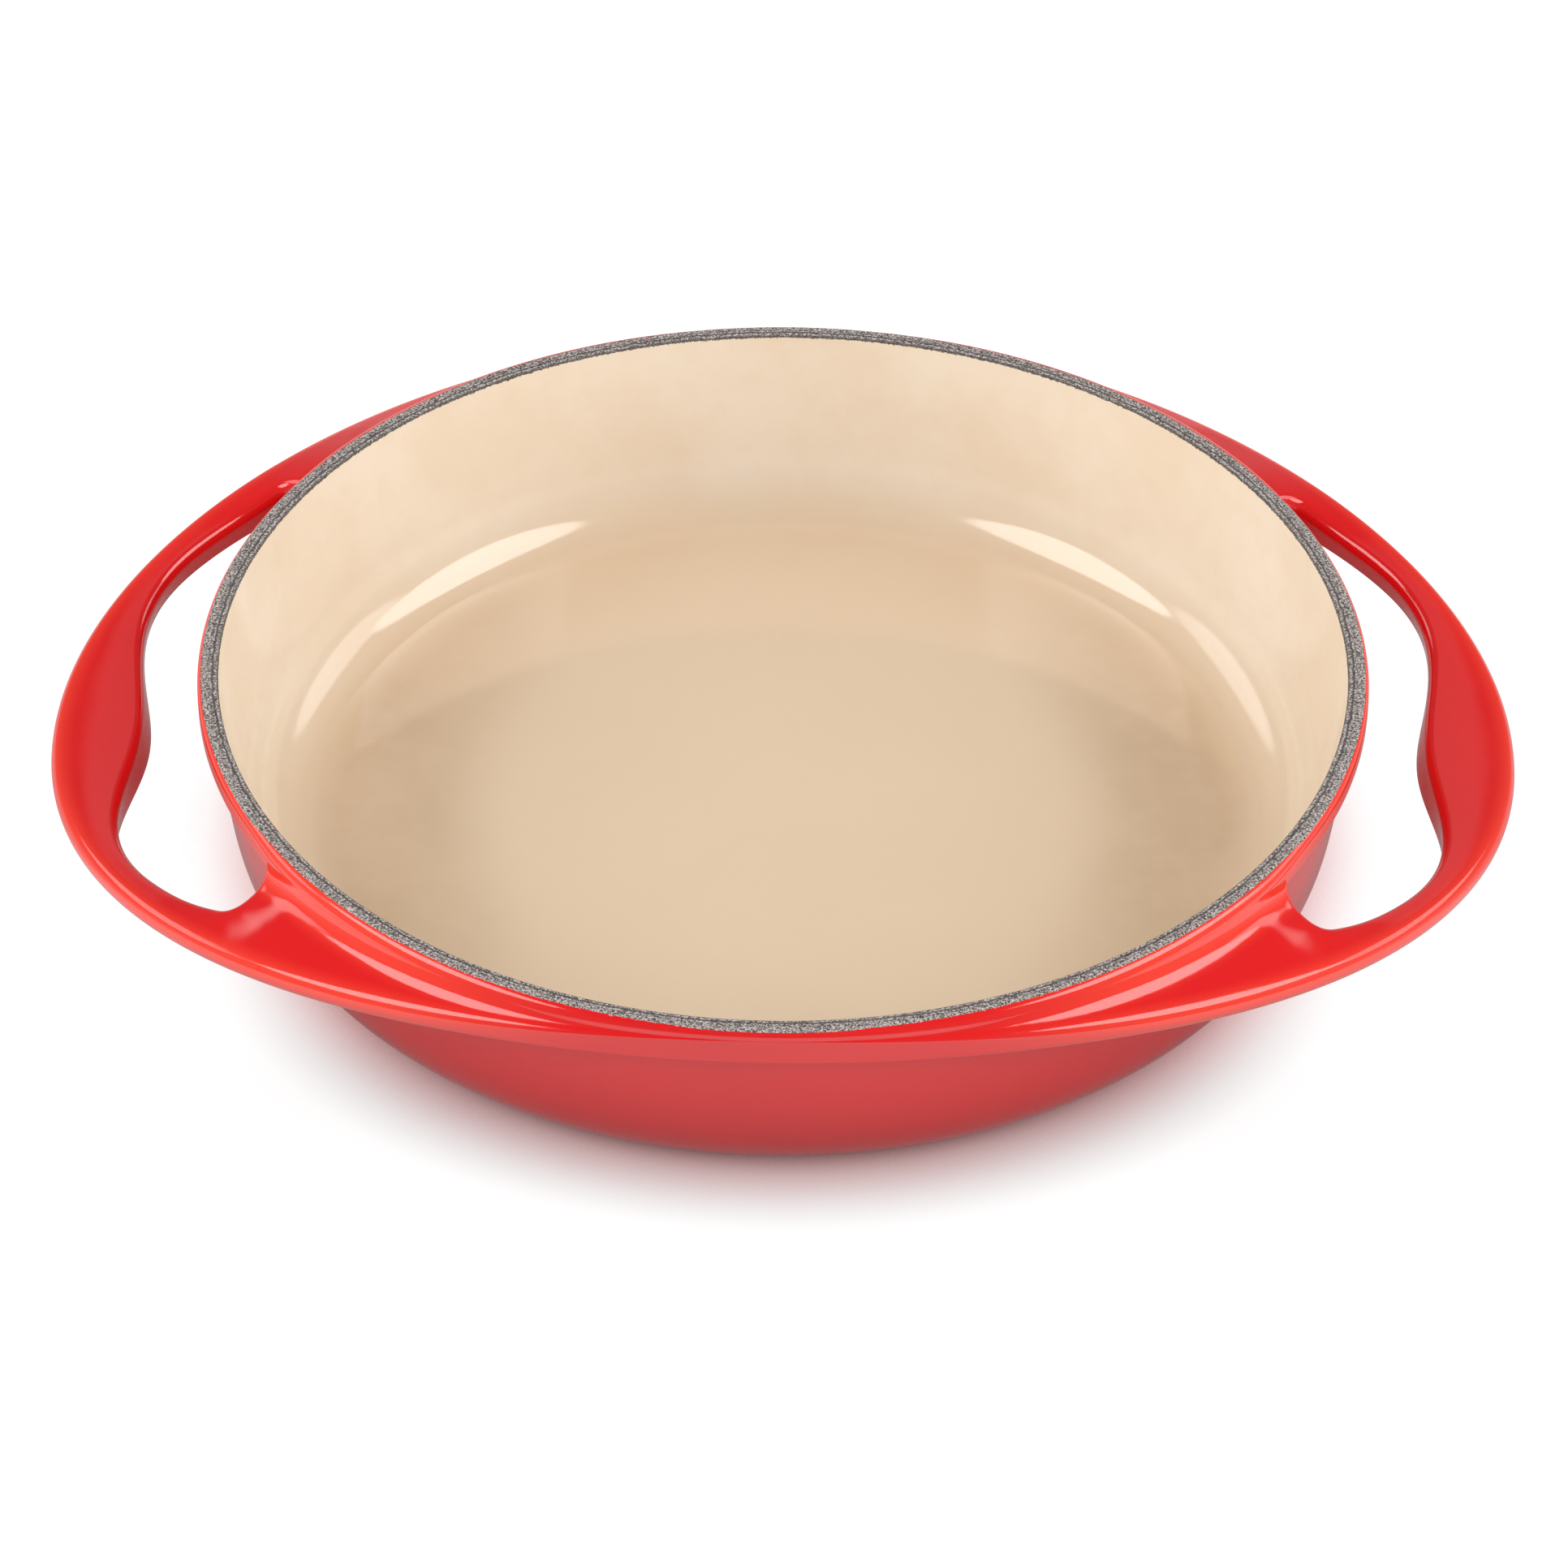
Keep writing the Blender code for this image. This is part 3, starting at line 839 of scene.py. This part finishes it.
def finish_enamel(tree, shader, place, colour, bare):
    """Gives the shader a gloss enamel that is matte where it leaves the ground coat bare."""
    tree.links.new(colour, shader.inputs["Base Color"])
    sheen = product(tree, noise(tree, place, SHEEN_GRAIN), SHEEN)
    gloss = maths(tree, "ADD", sheen, GLOSS)
    rough = node(tree, "Mix", {0: bare, 2: gloss, 3: BARE_ROUGHNESS}).outputs[0]
    tree.links.new(rough, shader.inputs["Roughness"])
    shader.inputs["IOR"].default_value = ENAMEL_IOR


# Red enamel: its colours, and between which values it passes from one to the next
RED = (0.70, 0.006, 0.008, 1)
# Deeper red: painted shade low on the dish, and a random darker tone on the underside
RED_DEEP_AND_SHADE = (0.50, 0.004, 0.006, 1)
RED_BRIGHT = (0.74, 0.009, 0.009, 1)
# Painted light: a paler, more orange red where light and reflection fall on the flange's outer
# edges and the collar's flank
RED_PAINTED_LIGHT = (0.90, 0.055, 0.028, 1)
RED_CLOUD_GRAIN = (22.0, 3.0, 0.5)
RED_CLOUDS = (0.3, 0.7)
# Painted shade: between these heights the red deepens towards the bottom of the dish
RED_SHADE_HEIGHTS = (2 * MM, 34 * MM)
# Painted light: where the flange's outer edges and the collar's flank are lit, and how far from
# the front and back it shows
LIT_EDGE = (0.93, 1.0)
LIT_FLANK_RADII = (130.5 * MM, 136 * MM)
LIT_FLANK_HEIGHTS = (36 * MM, 42 * MM)
LIT_ASIDE = (35 * MM, 85 * MM)
LIT_SHARE = 0.8
RED_RAGGED = 1.7 * MM
RED_BORDER_RADII = (128.32 * MM, 128.48 * MM)
RED_BORDER_HEIGHTS = (RIM_HEIGHT - 0.9 * MM, RIM_HEIGHT - 0.6 * MM)


def outline_term(tree, part, half):
    """One term of the flange's outline, which reach() draws."""
    share = maths(tree, "DIVIDE", size_of(tree, part), half)
    return maths(tree, "POWER", share, OUTLINE_SQUARENESS)


def red_enamel():
    """Red with painted shade that deepens it low down, and painted light that makes it paler and
    more orange on the flange's outer edges and the collar's flank towards the handles.
    """
    material, tree, shader, place = new_material("red_enamel")
    radius, parts = radius_of(tree, place)
    clouds = step_between(tree, noise(tree, place, RED_CLOUD_GRAIN), *RED_CLOUDS)
    colour = blend(tree, clouds, RED, RED_BRIGHT)
    # Painted light: paler, more orange red on the flange's outer edges and the collar's flank,
    # towards the handles
    across = outline_term(tree, parts[0], handle_radius)
    deep = outline_term(tree, parts[1], ledge_radius)
    edge = step_between(tree, maths(tree, "ADD", across, deep), *LIT_EDGE)
    beside = opposite(tree, step_between(tree, radius, *LIT_FLANK_RADII))
    collar = product(tree, beside, step_between(tree, parts[2], *LIT_FLANK_HEIGHTS))
    aside = step_between(tree, size_of(tree, parts[0]), *LIT_ASIDE)
    painted_light = maths(tree, "MAXIMUM", edge, collar)
    painted_light = product(tree, painted_light, product(tree, aside, LIT_SHARE))
    # Painted shade: the red deepens towards the bottom of the dish
    low = step_between(tree, parts[2], *RED_SHADE_HEIGHTS)
    colour = blend(tree, low, RED_DEEP_AND_SHADE, blend(tree, painted_light, colour, RED_PAINTED_LIGHT))
    border = maths(tree, "ADD", radius, ragged(tree, place, RED_RAGGED))
    border = step_between(tree, border, *RED_BORDER_RADII)
    high = step_between(tree, parts[2], *RED_BORDER_HEIGHTS)
    bare = product(tree, high, opposite(tree, border))
    ground = ground_coat(tree, place, radius, ground_grains(tree, place))
    colour = blend(tree, bare, colour, ground)
    finish_enamel(tree, shader, place, colour, bare)
    add_bump(tree, shader, noise(tree, place, RED_RIPPLE), RED_RIPPLE_HEIGHT)
    return material


# Sand enamel: its colours, and between which values it passes from one to the next
SAND = (0.76, 0.585, 0.41, 1)
# Painted shade: a darker, deeper sand round the floor's edge at the two sides
SAND_PAINTED_SHADE = (0.50, 0.342, 0.205, 1)
# Painted light: a paler sand up the lit walls than on the floor
SAND_LIT_WALL = (0.83, 0.72, 0.585, 1)
SAND_WARM = (0.75, 0.56, 0.385, 1)
# Painted light: heights above which the sand turns paler up the wall
SAND_LIT_HEIGHTS = (floor_height - 1 * MM, floor_height + 13 * MM)
# Painted shade: where the sand darkens round the floor's edge, towards the two sides
SAND_SHADE_INNER_RADII = (56 * MM, 80 * MM)
SAND_SHADE_OUTER_RADII = (98 * MM, 112 * MM)
SAND_SHADE_ASIDE = (45 * MM, 88 * MM)
SAND_SHADE_SHARE = 0.7
SAND_CLOUD_GRAIN = (26.0, 3.0, 0.5)
SAND_CLOUDS = (0.35, 0.7)
SAND_CLOUD_SHARE = 0.35
MOTTLE_GRAIN = (160.0, 4.0, 0.6)
MOTTLE = (0.4, 0.75)
MOTTLE_SHARE = 0.15
SAND_RAGGED = 1.4 * MM
SAND_BORDER_HEIGHTS = (RIM_HEIGHT - 0.75 * MM, RIM_HEIGHT - 0.55 * MM)


def sand_enamel():
    """Sand with painted light that makes it paler up the wall, and painted shade that deepens it
    round the floor's edge at the two sides.
    """
    material, tree, shader, place = new_material("sand_enamel")
    radius, parts = radius_of(tree, place)
    # Painted light: paler sand up the wall, where more light falls
    high = step_between(tree, parts[2], *SAND_LIT_HEIGHTS)
    colour = blend(tree, high, SAND, SAND_LIT_WALL)
    # Painted shade round the floor's edge at the two sides
    inside = step_between(tree, radius, *SAND_SHADE_INNER_RADII)
    shade_ring = maths(tree, "SUBTRACT", inside, step_between(tree, radius, *SAND_SHADE_OUTER_RADII))
    aside = step_between(tree, size_of(tree, parts[0]), *SAND_SHADE_ASIDE)
    painted_shade = product(tree, product(tree, shade_ring, aside), SAND_SHADE_SHARE)
    colour = blend(tree, painted_shade, colour, SAND_PAINTED_SHADE)
    clouds = step_between(tree, noise(tree, place, SAND_CLOUD_GRAIN), *SAND_CLOUDS)
    colour = blend(tree, product(tree, clouds, SAND_CLOUD_SHARE), colour, SAND_WARM)
    mottle = step_between(tree, noise(tree, place, MOTTLE_GRAIN), *MOTTLE)
    colour = blend(tree, product(tree, mottle, MOTTLE_SHARE), colour, SAND_WARM)
    border = maths(tree, "ADD", parts[2], ragged(tree, place, SAND_RAGGED))
    bare = step_between(tree, border, *SAND_BORDER_HEIGHTS)
    ground = ground_coat(tree, place, radius, ground_grains(tree, place))
    colour = blend(tree, bare, colour, ground)
    finish_enamel(tree, shader, place, colour, bare)
    add_bump(tree, shader, noise(tree, place, SAND_RIPPLE), SAND_RIPPLE_HEIGHT)
    return material


def rim_coat():
    material, tree, shader, place = new_material("rim_ground_coat")
    radius, _ = radius_of(tree, place)
    grains = ground_grains(tree, place)
    colour = ground_coat(tree, place, radius, grains)
    tree.links.new(colour, shader.inputs["Base Color"])
    shader.inputs["Roughness"].default_value = GROUND_ROUGHNESS
    add_bump(tree, shader, grains, GROUND_BUMP)
    return material


def roughen(tree, shader, grains, least, more):
    """Roughness that rises with a noise from its least value."""
    rough = maths(tree, "ADD", least, product(tree, grains, more))
    tree.links.new(rough, shader.inputs["Roughness"])


# Foot ring, underside and iron. A roughness is its least value and what a noise adds to it.
FOOT_DARK = (0.035, 0.031, 0.028, 1)
FOOT_GREY = (0.12, 0.105, 0.095, 1)
FOOT_WORN = (0.2, 0.175, 0.155, 1)
FOOT_GRAIN = (1400.0, 4.0, 0.7)
FOOT_WEAR_GRAIN = (90.0, 4.0, 0.7)
FOOT_WEAR = (0.52, 0.72)
FOOT_ROUGHNESS = (0.5, 0.3)
UNDERSIDE_CLOUD_GRAIN = (18.0, 4.0, 0.6)
UNDERSIDE_CLOUDS = (0.3, 0.75)
UNDERSIDE_SHEEN_GRAIN = (45.0, 4.0, 0.5)
UNDERSIDE_ROUGHNESS = (0.1, 0.14)
UNDERSIDE_RIPPLE = (60.0, 3.0, 0.5)
UNDERSIDE_RIPPLE_HEIGHT = 0.25 * MM
IRON_DARK = (0.02, 0.019, 0.018, 1)
IRON_GREY = (0.09, 0.085, 0.08, 1)
IRON_GRAIN = (1100.0, 5.0, 0.7)
IRON_METALLIC = 0.6
IRON_ROUGHNESS = (0.55, 0.35)
IRON_BUMP = 0.3 * MM


def foot_coat():
    material, tree, shader, place = new_material("foot_ground_coat")
    grains = noise(tree, place, FOOT_GRAIN)
    worn = step_between(tree, noise(tree, place, FOOT_WEAR_GRAIN), *FOOT_WEAR)
    colour = blend(tree, worn, blend(tree, grains, FOOT_DARK, FOOT_GREY), FOOT_WORN)
    tree.links.new(colour, shader.inputs["Base Color"])
    roughen(tree, shader, grains, *FOOT_ROUGHNESS)
    add_bump(tree, shader, grains, GROUND_BUMP)
    return material


def underside_red():
    material, tree, shader, place = new_material("underside_enamel")
    clouds = step_between(tree, noise(tree, place, UNDERSIDE_CLOUD_GRAIN), *UNDERSIDE_CLOUDS)
    colour = blend(tree, clouds, RED_DEEP_AND_SHADE, RED)
    tree.links.new(colour, shader.inputs["Base Color"])
    roughen(tree, shader, noise(tree, place, UNDERSIDE_SHEEN_GRAIN), *UNDERSIDE_ROUGHNESS)
    add_bump(tree, shader, noise(tree, place, UNDERSIDE_RIPPLE), UNDERSIDE_RIPPLE_HEIGHT)
    return material


def cast_iron():
    material, tree, shader, place = new_material("cast_iron_skin")
    grains = noise(tree, place, IRON_GRAIN)
    colour = blend(tree, grains, IRON_DARK, IRON_GREY)
    tree.links.new(colour, shader.inputs["Base Color"])
    shader.inputs["Metallic"].default_value = IRON_METALLIC
    roughen(tree, shader, grains, *IRON_ROUGHNESS)
    add_bump(tree, shader, grains, IRON_BUMP)
    return material


# Pieces


def add_piece(name, mesh, material, cad_node):
    """Puts a form in the scene on the CAD body, in place of its CAD node."""
    data = bpy.data.meshes.new(name)
    mesh.to_mesh(data)
    mesh.free()
    data.shade_smooth()
    data.materials.append(material)
    piece = bpy.data.objects.new(name, data)
    bpy.context.scene.collection.objects.link(piece)
    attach(piece, "root")
    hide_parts(cad_node)
    return piece


def make_exterior():
    mesh = bmesh.new()
    add_outside(mesh)
    mirrored(mesh)
    piece = add_piece("red_coat", mesh, red_enamel(), "exterior_enamel")
    shell = piece.modifiers.new("coat", "SOLIDIFY")
    shell.thickness = COAT
    shell.offset = -1
    smooth = piece.modifiers.new("smooth", "SUBSURF")
    smooth.levels = 1
    smooth.render_levels = 1


SHARP_ANGLE = math.radians(40)


def make_turned(name, profile, material, cad_node):
    piece = add_piece(name, turned(profile), material, cad_node)
    piece.data.set_sharp_from_angle(angle=SHARP_ANGLE)


# Objects that the scene starts with
for stray in list(bpy.data.objects):
    if stray.type in ("CAMERA", "LIGHT") or stray.name == "Cube":
        bpy.data.objects.remove(stray, do_unlink=True)

make_exterior()
make_turned("sand_coat", interior_profile(), sand_enamel(), "interior_enamel")
make_turned("rim_band", rim_profile(), rim_coat(), "rim_ground_coat")
make_turned("foot_ring", foot_profile(), foot_coat(), "foot_ground_coat")
underside = underside_profile()
make_turned("underside_coat", underside, underside_red(), "underside_enamel")
iron = frame["nodes"]["iron_casting"]
iron.data.materials.clear()
iron.data.materials.append(cast_iron())


# Floor, light and camera


def grey(level):
    return (level, level, level, 1)


# Floor: how far its shading reaches, and between which places each part of it fades
FLOOR_SIZE = 8.0
FLOOR_SINK = 0.05 * MM
SHADE_SAMPLES = 8
NEAR_SHADE = 20 * MM
WIDE_SHADE = 90 * MM
SHADE_FRONT = (40 * MM, 105 * MM)
NEAR_DEPTH = (0.22, 0.35)
WIDE_DEPTH = (0.05, 0.17)
MIRRORED_BEHIND = (60 * MM, 250 * MM)
MIRRORED_BEHIND_SHARE = 0.6
MIRRORED_ASIDE = (95 * MM, 125 * MM)
MIRRORED_BACK = (-40 * MM, 10 * MM)
MIRRORED_ASIDE_SHARE = 0.75
MIRRORED_SHARE = 0.9
MIRRORED_POWER = 2.0
PAPER_BOUNCE = 0.45
PAPER_SEEN = 0.15
SHADE_TINT = (1.0, 0.45, 0.45, 1)
TINTED = (0.05, 0.85)


def shaded(tree, light, depth, front):
    """An occlusion's light, whose shade is deeper before the dish than beside and behind it."""
    least, more = depth
    return maths(tree, "POWER", light, maths(tree, "ADD", least, product(tree, front, more)))


def floor_light(tree, path, near, wide):
    """How white the floor looks: plainly to the camera, and less in what the gloss mirrors, where
    a painted shadow darkens it behind the dish and beside it under the handles.
    """
    seen = maths(tree, "MAXIMUM", path["Is Camera Ray"], path["Is Glossy Ray"])
    seen = maths(tree, "MAXIMUM", seen, path["Is Transmission Ray"])
    place = node(tree, "NewGeometry").outputs["Position"]
    parts = node(tree, "SeparateXYZ", {0: place}).outputs
    front = step_between(tree, product(tree, parts[1], -1.0), *SHADE_FRONT)
    soft = shaded(tree, wide, WIDE_DEPTH, front)
    straight = product(tree, shaded(tree, near, NEAR_DEPTH, front), soft)
    # Painted shadow: the floor that the gloss mirrors is darker behind the dish and beside it
    # under the handles
    behind = step_between(tree, parts[1], *MIRRORED_BEHIND)
    behind = product(tree, behind, MIRRORED_BEHIND_SHARE)
    beside = step_between(tree, size_of(tree, parts[0]), *MIRRORED_ASIDE)
    beside = product(tree, beside, step_between(tree, parts[1], *MIRRORED_BACK))
    beside = product(tree, beside, MIRRORED_ASIDE_SHARE)
    kept = opposite(tree, maths(tree, "MAXIMUM", behind, beside))
    mirrored_white = maths(tree, "POWER", wide, MIRRORED_POWER)
    mirrored_white = product(tree, mirrored_white, product(tree, kept, MIRRORED_SHARE))
    sockets = {0: path["Is Camera Ray"], 2: mirrored_white, 3: straight}
    return product(tree, seen, node(tree, "Mix", sockets).outputs[0])


def occlusion(tree, distance):
    made = node(tree, "AmbientOcclusion", {"Distance": distance}, samples=SHADE_SAMPLES)
    return made.outputs["AO"]


def floor_paper():
    """White paper that glows by itself, dimmed by the dish's contact shadow."""
    material = bpy.data.materials.new("floor")
    material.use_nodes = True
    tree = material.node_tree
    tree.nodes.clear()
    path = node(tree, "LightPath").outputs
    near = occlusion(tree, NEAR_SHADE)
    wide = occlusion(tree, WIDE_SHADE)
    bounce = blend(tree, path["Is Camera Ray"], grey(PAPER_BOUNCE), grey(PAPER_SEEN))
    paper = node(tree, "BsdfDiffuse", {"Color": bounce})
    tint = blend(tree, step_between(tree, near, *TINTED), SHADE_TINT, grey(1.0))
    white = floor_light(tree, path, near, wide)
    glow = node(tree, "Emission", {"Color": tint, "Strength": white})
    both = node(tree, "AddShader", {0: paper.outputs[0], 1: glow.outputs[0]})
    node(tree, "OutputMaterial", {"Surface": both.outputs[0]})
    return material


def make_floor():
    mesh = bmesh.new()
    bmesh.ops.create_grid(mesh, x_segments=1, y_segments=1, size=FLOOR_SIZE)
    data = bpy.data.meshes.new("floor")
    mesh.to_mesh(data)
    mesh.free()
    floor = bpy.data.objects.new("floor", data)
    bpy.context.scene.collection.objects.link(floor)
    floor.location.z = -FLOOR_SINK
    data.materials.append(floor_paper())


def bearing_vector(bearing, rise):
    """Unit vector at a bearing, clockwise from straight behind, and an angle above the floor."""
    bearing = math.radians(bearing)
    rise = math.radians(rise)
    level = math.cos(rise)
    return Vector((math.sin(bearing) * level, math.cos(bearing) * level, math.sin(rise)))


# The panels that only gloss shows, each laid over the ones before it: bearing, rise, shift and
# half size in its plane, softness and brightness
PANELS = (
    (-122, 22, (0, 0), (0.65, 0.5), 0.9, 0.28),
    (122, 22, (0, 0), (0.65, 0.5), 0.9, 0.28),
    (0, 35, (0, 0), (0.16, 0.6), 0.8, 0.45),
    (-62, 32, (0, 0), (0.32, 0.17), 0.4, 2.5),
    (62, 32, (0, 0), (0.32, 0.17), 0.4, 2.5),
    (-90, 54, (-0.09, -0.03), (0.34, 0.24), 0.12, 5.0),
    (90, 54, (0.0, -0.06), (0.36, 0.25), 0.12, 5.0),
)
PANEL_SQUARENESS = 2.5
ROOM_HEIGHTS = (0.3, 0.9)
ROOM_LOW = 0.85
ROOM_HIGH = 0.6
GLOSS_HEIGHTS = (0.0, 0.4)
GLOSS_DEPTHS = (0.1, 0.7)
GLOSS_FRONT = 0.65
GLOSS_BACK = 0.3
GLOSS_HIGH = 0.16


def panel(tree, heading, bearing, rise, centre, half_size, soft):
    """1 inside a rounded panel of the studio and 0 outside, in the plane across its direction."""
    ahead = bearing_vector(bearing, rise)
    right = ahead.cross(Vector((0, 0, 1))).normalized()
    up = right.cross(ahead)

    def share(axis):
        sockets = {0: heading, 1: tuple(axis)}
        return node(tree, "VectorMath", sockets, operation="DOT_PRODUCT").outputs["Value"]

    depth = share(ahead)
    away = 0.0
    for axis, middle, half in ((right, centre[0], half_size[0]), (up, centre[1], half_size[1])):
        offset = maths(tree, "SUBTRACT", maths(tree, "DIVIDE", share(axis), depth), middle)
        scaled = size_of(tree, maths(tree, "DIVIDE", offset, half))
        away = maths(tree, "ADD", maths(tree, "POWER", scaled, PANEL_SQUARENESS), away)
    inside = opposite(tree, step_between(tree, away, 1 - soft, 1 + soft))
    return product(tree, inside, maths(tree, "GREATER_THAN", depth, 0.0))


def make_world():
    """A white studio: pale all round, with soft panels that only gloss shows."""
    world = bpy.data.worlds.new("studio")
    bpy.context.scene.world = world
    world.use_nodes = True
    tree = world.node_tree
    tree.nodes.clear()
    path = node(tree, "LightPath").outputs
    heading = node(tree, "TexCoord").outputs["Generated"]
    _, ahead, up = node(tree, "SeparateXYZ", {0: heading}).outputs
    room = blend(tree, step_between(tree, up, *ROOM_HEIGHTS), grey(ROOM_LOW), grey(ROOM_HIGH))
    depths = step_between(tree, ahead, *GLOSS_DEPTHS)
    horizon = blend(tree, depths, grey(GLOSS_FRONT), grey(GLOSS_BACK))
    gloss = blend(tree, step_between(tree, up, *GLOSS_HEIGHTS), horizon, grey(GLOSS_HIGH))
    for bearing, rise, centre, half_size, soft, level in PANELS:
        share = panel(tree, heading, bearing, rise, centre, half_size, soft)
        gloss = blend(tree, share, gloss, grey(level))
    colour = blend(tree, path["Is Glossy Ray"], room, gloss)
    backdrop = maths(tree, "MAXIMUM", path["Is Camera Ray"], path["Is Transmission Ray"])
    colour = blend(tree, backdrop, colour, grey(1.0))
    glow = node(tree, "Background", {"Color": colour, "Strength": 1.0})
    node(tree, "OutputWorld", {"Surface": glow.outputs[0]})


# Lamps: name, bearing, rise and radiance, where 1 is white
LAMPS = (("left", -90, 21, 3.6), ("right", 90, 21, 3.6), ("front", 180, 44, 3.0))
LAMP_SIZE = 1.1
LAMP_DISTANCE = 1.7


def add_lamp(name, bearing, rise, strength):
    """A round soft box that faces the dish."""
    lamp = bpy.data.lights.new(name, "AREA")
    lamp.shape = "DISK"
    lamp.size = LAMP_SIZE
    lamp.energy = strength * LAMP_SIZE**2 * QUARTER**2
    box = bpy.data.objects.new(name, lamp)
    bpy.context.scene.collection.objects.link(box)
    ahead = bearing_vector(bearing, rise)
    box.location = ahead * LAMP_DISTANCE
    box.rotation_euler = (-ahead).to_track_quat("-Z", "Y").to_euler()
    box.visible_glossy = False


def make_lamps():
    for lamp in LAMPS:
        add_lamp(*lamp)


# Camera, as fitted to the photograph
CAMERA_PLACE = (0.022573, -1.288751, 1.025897)
CAMERA_PITCH = math.radians(38.1728)
CAMERA_YAW = math.radians(-0.98905)
CAMERA_ROLL = math.radians(0.32552)
FOCAL_PIXELS = 9000
FRAME_PIXELS = 1932
SENSOR_WIDTH = 36
CAMERA_CLIP_END = 50.0


def make_camera():
    pitch, yaw, roll = CAMERA_PITCH, CAMERA_YAW, CAMERA_ROLL
    level = Vector((math.cos(yaw), -math.sin(yaw), 0))
    run = math.cos(pitch)
    ahead = Vector((math.sin(yaw) * run, math.cos(yaw) * run, -math.sin(pitch)))
    above = level.cross(ahead)
    right = math.cos(roll) * level + math.sin(roll) * above
    up = -math.sin(roll) * level + math.cos(roll) * above
    place = Matrix((right, up, -ahead)).transposed().to_4x4()
    place.translation = Vector(CAMERA_PLACE)
    camera = bpy.data.objects.new("camera", bpy.data.cameras.new("camera"))
    bpy.context.scene.collection.objects.link(camera)
    camera.matrix_world = place
    camera.data.sensor_width = SENSOR_WIDTH
    camera.data.lens = FOCAL_PIXELS / FRAME_PIXELS * SENSOR_WIDTH
    camera.data.clip_end = CAMERA_CLIP_END
    bpy.context.scene.camera = camera


make_floor()
make_world()
make_lamps()
make_camera()
bpy.context.scene.view_settings.view_transform = "Standard"
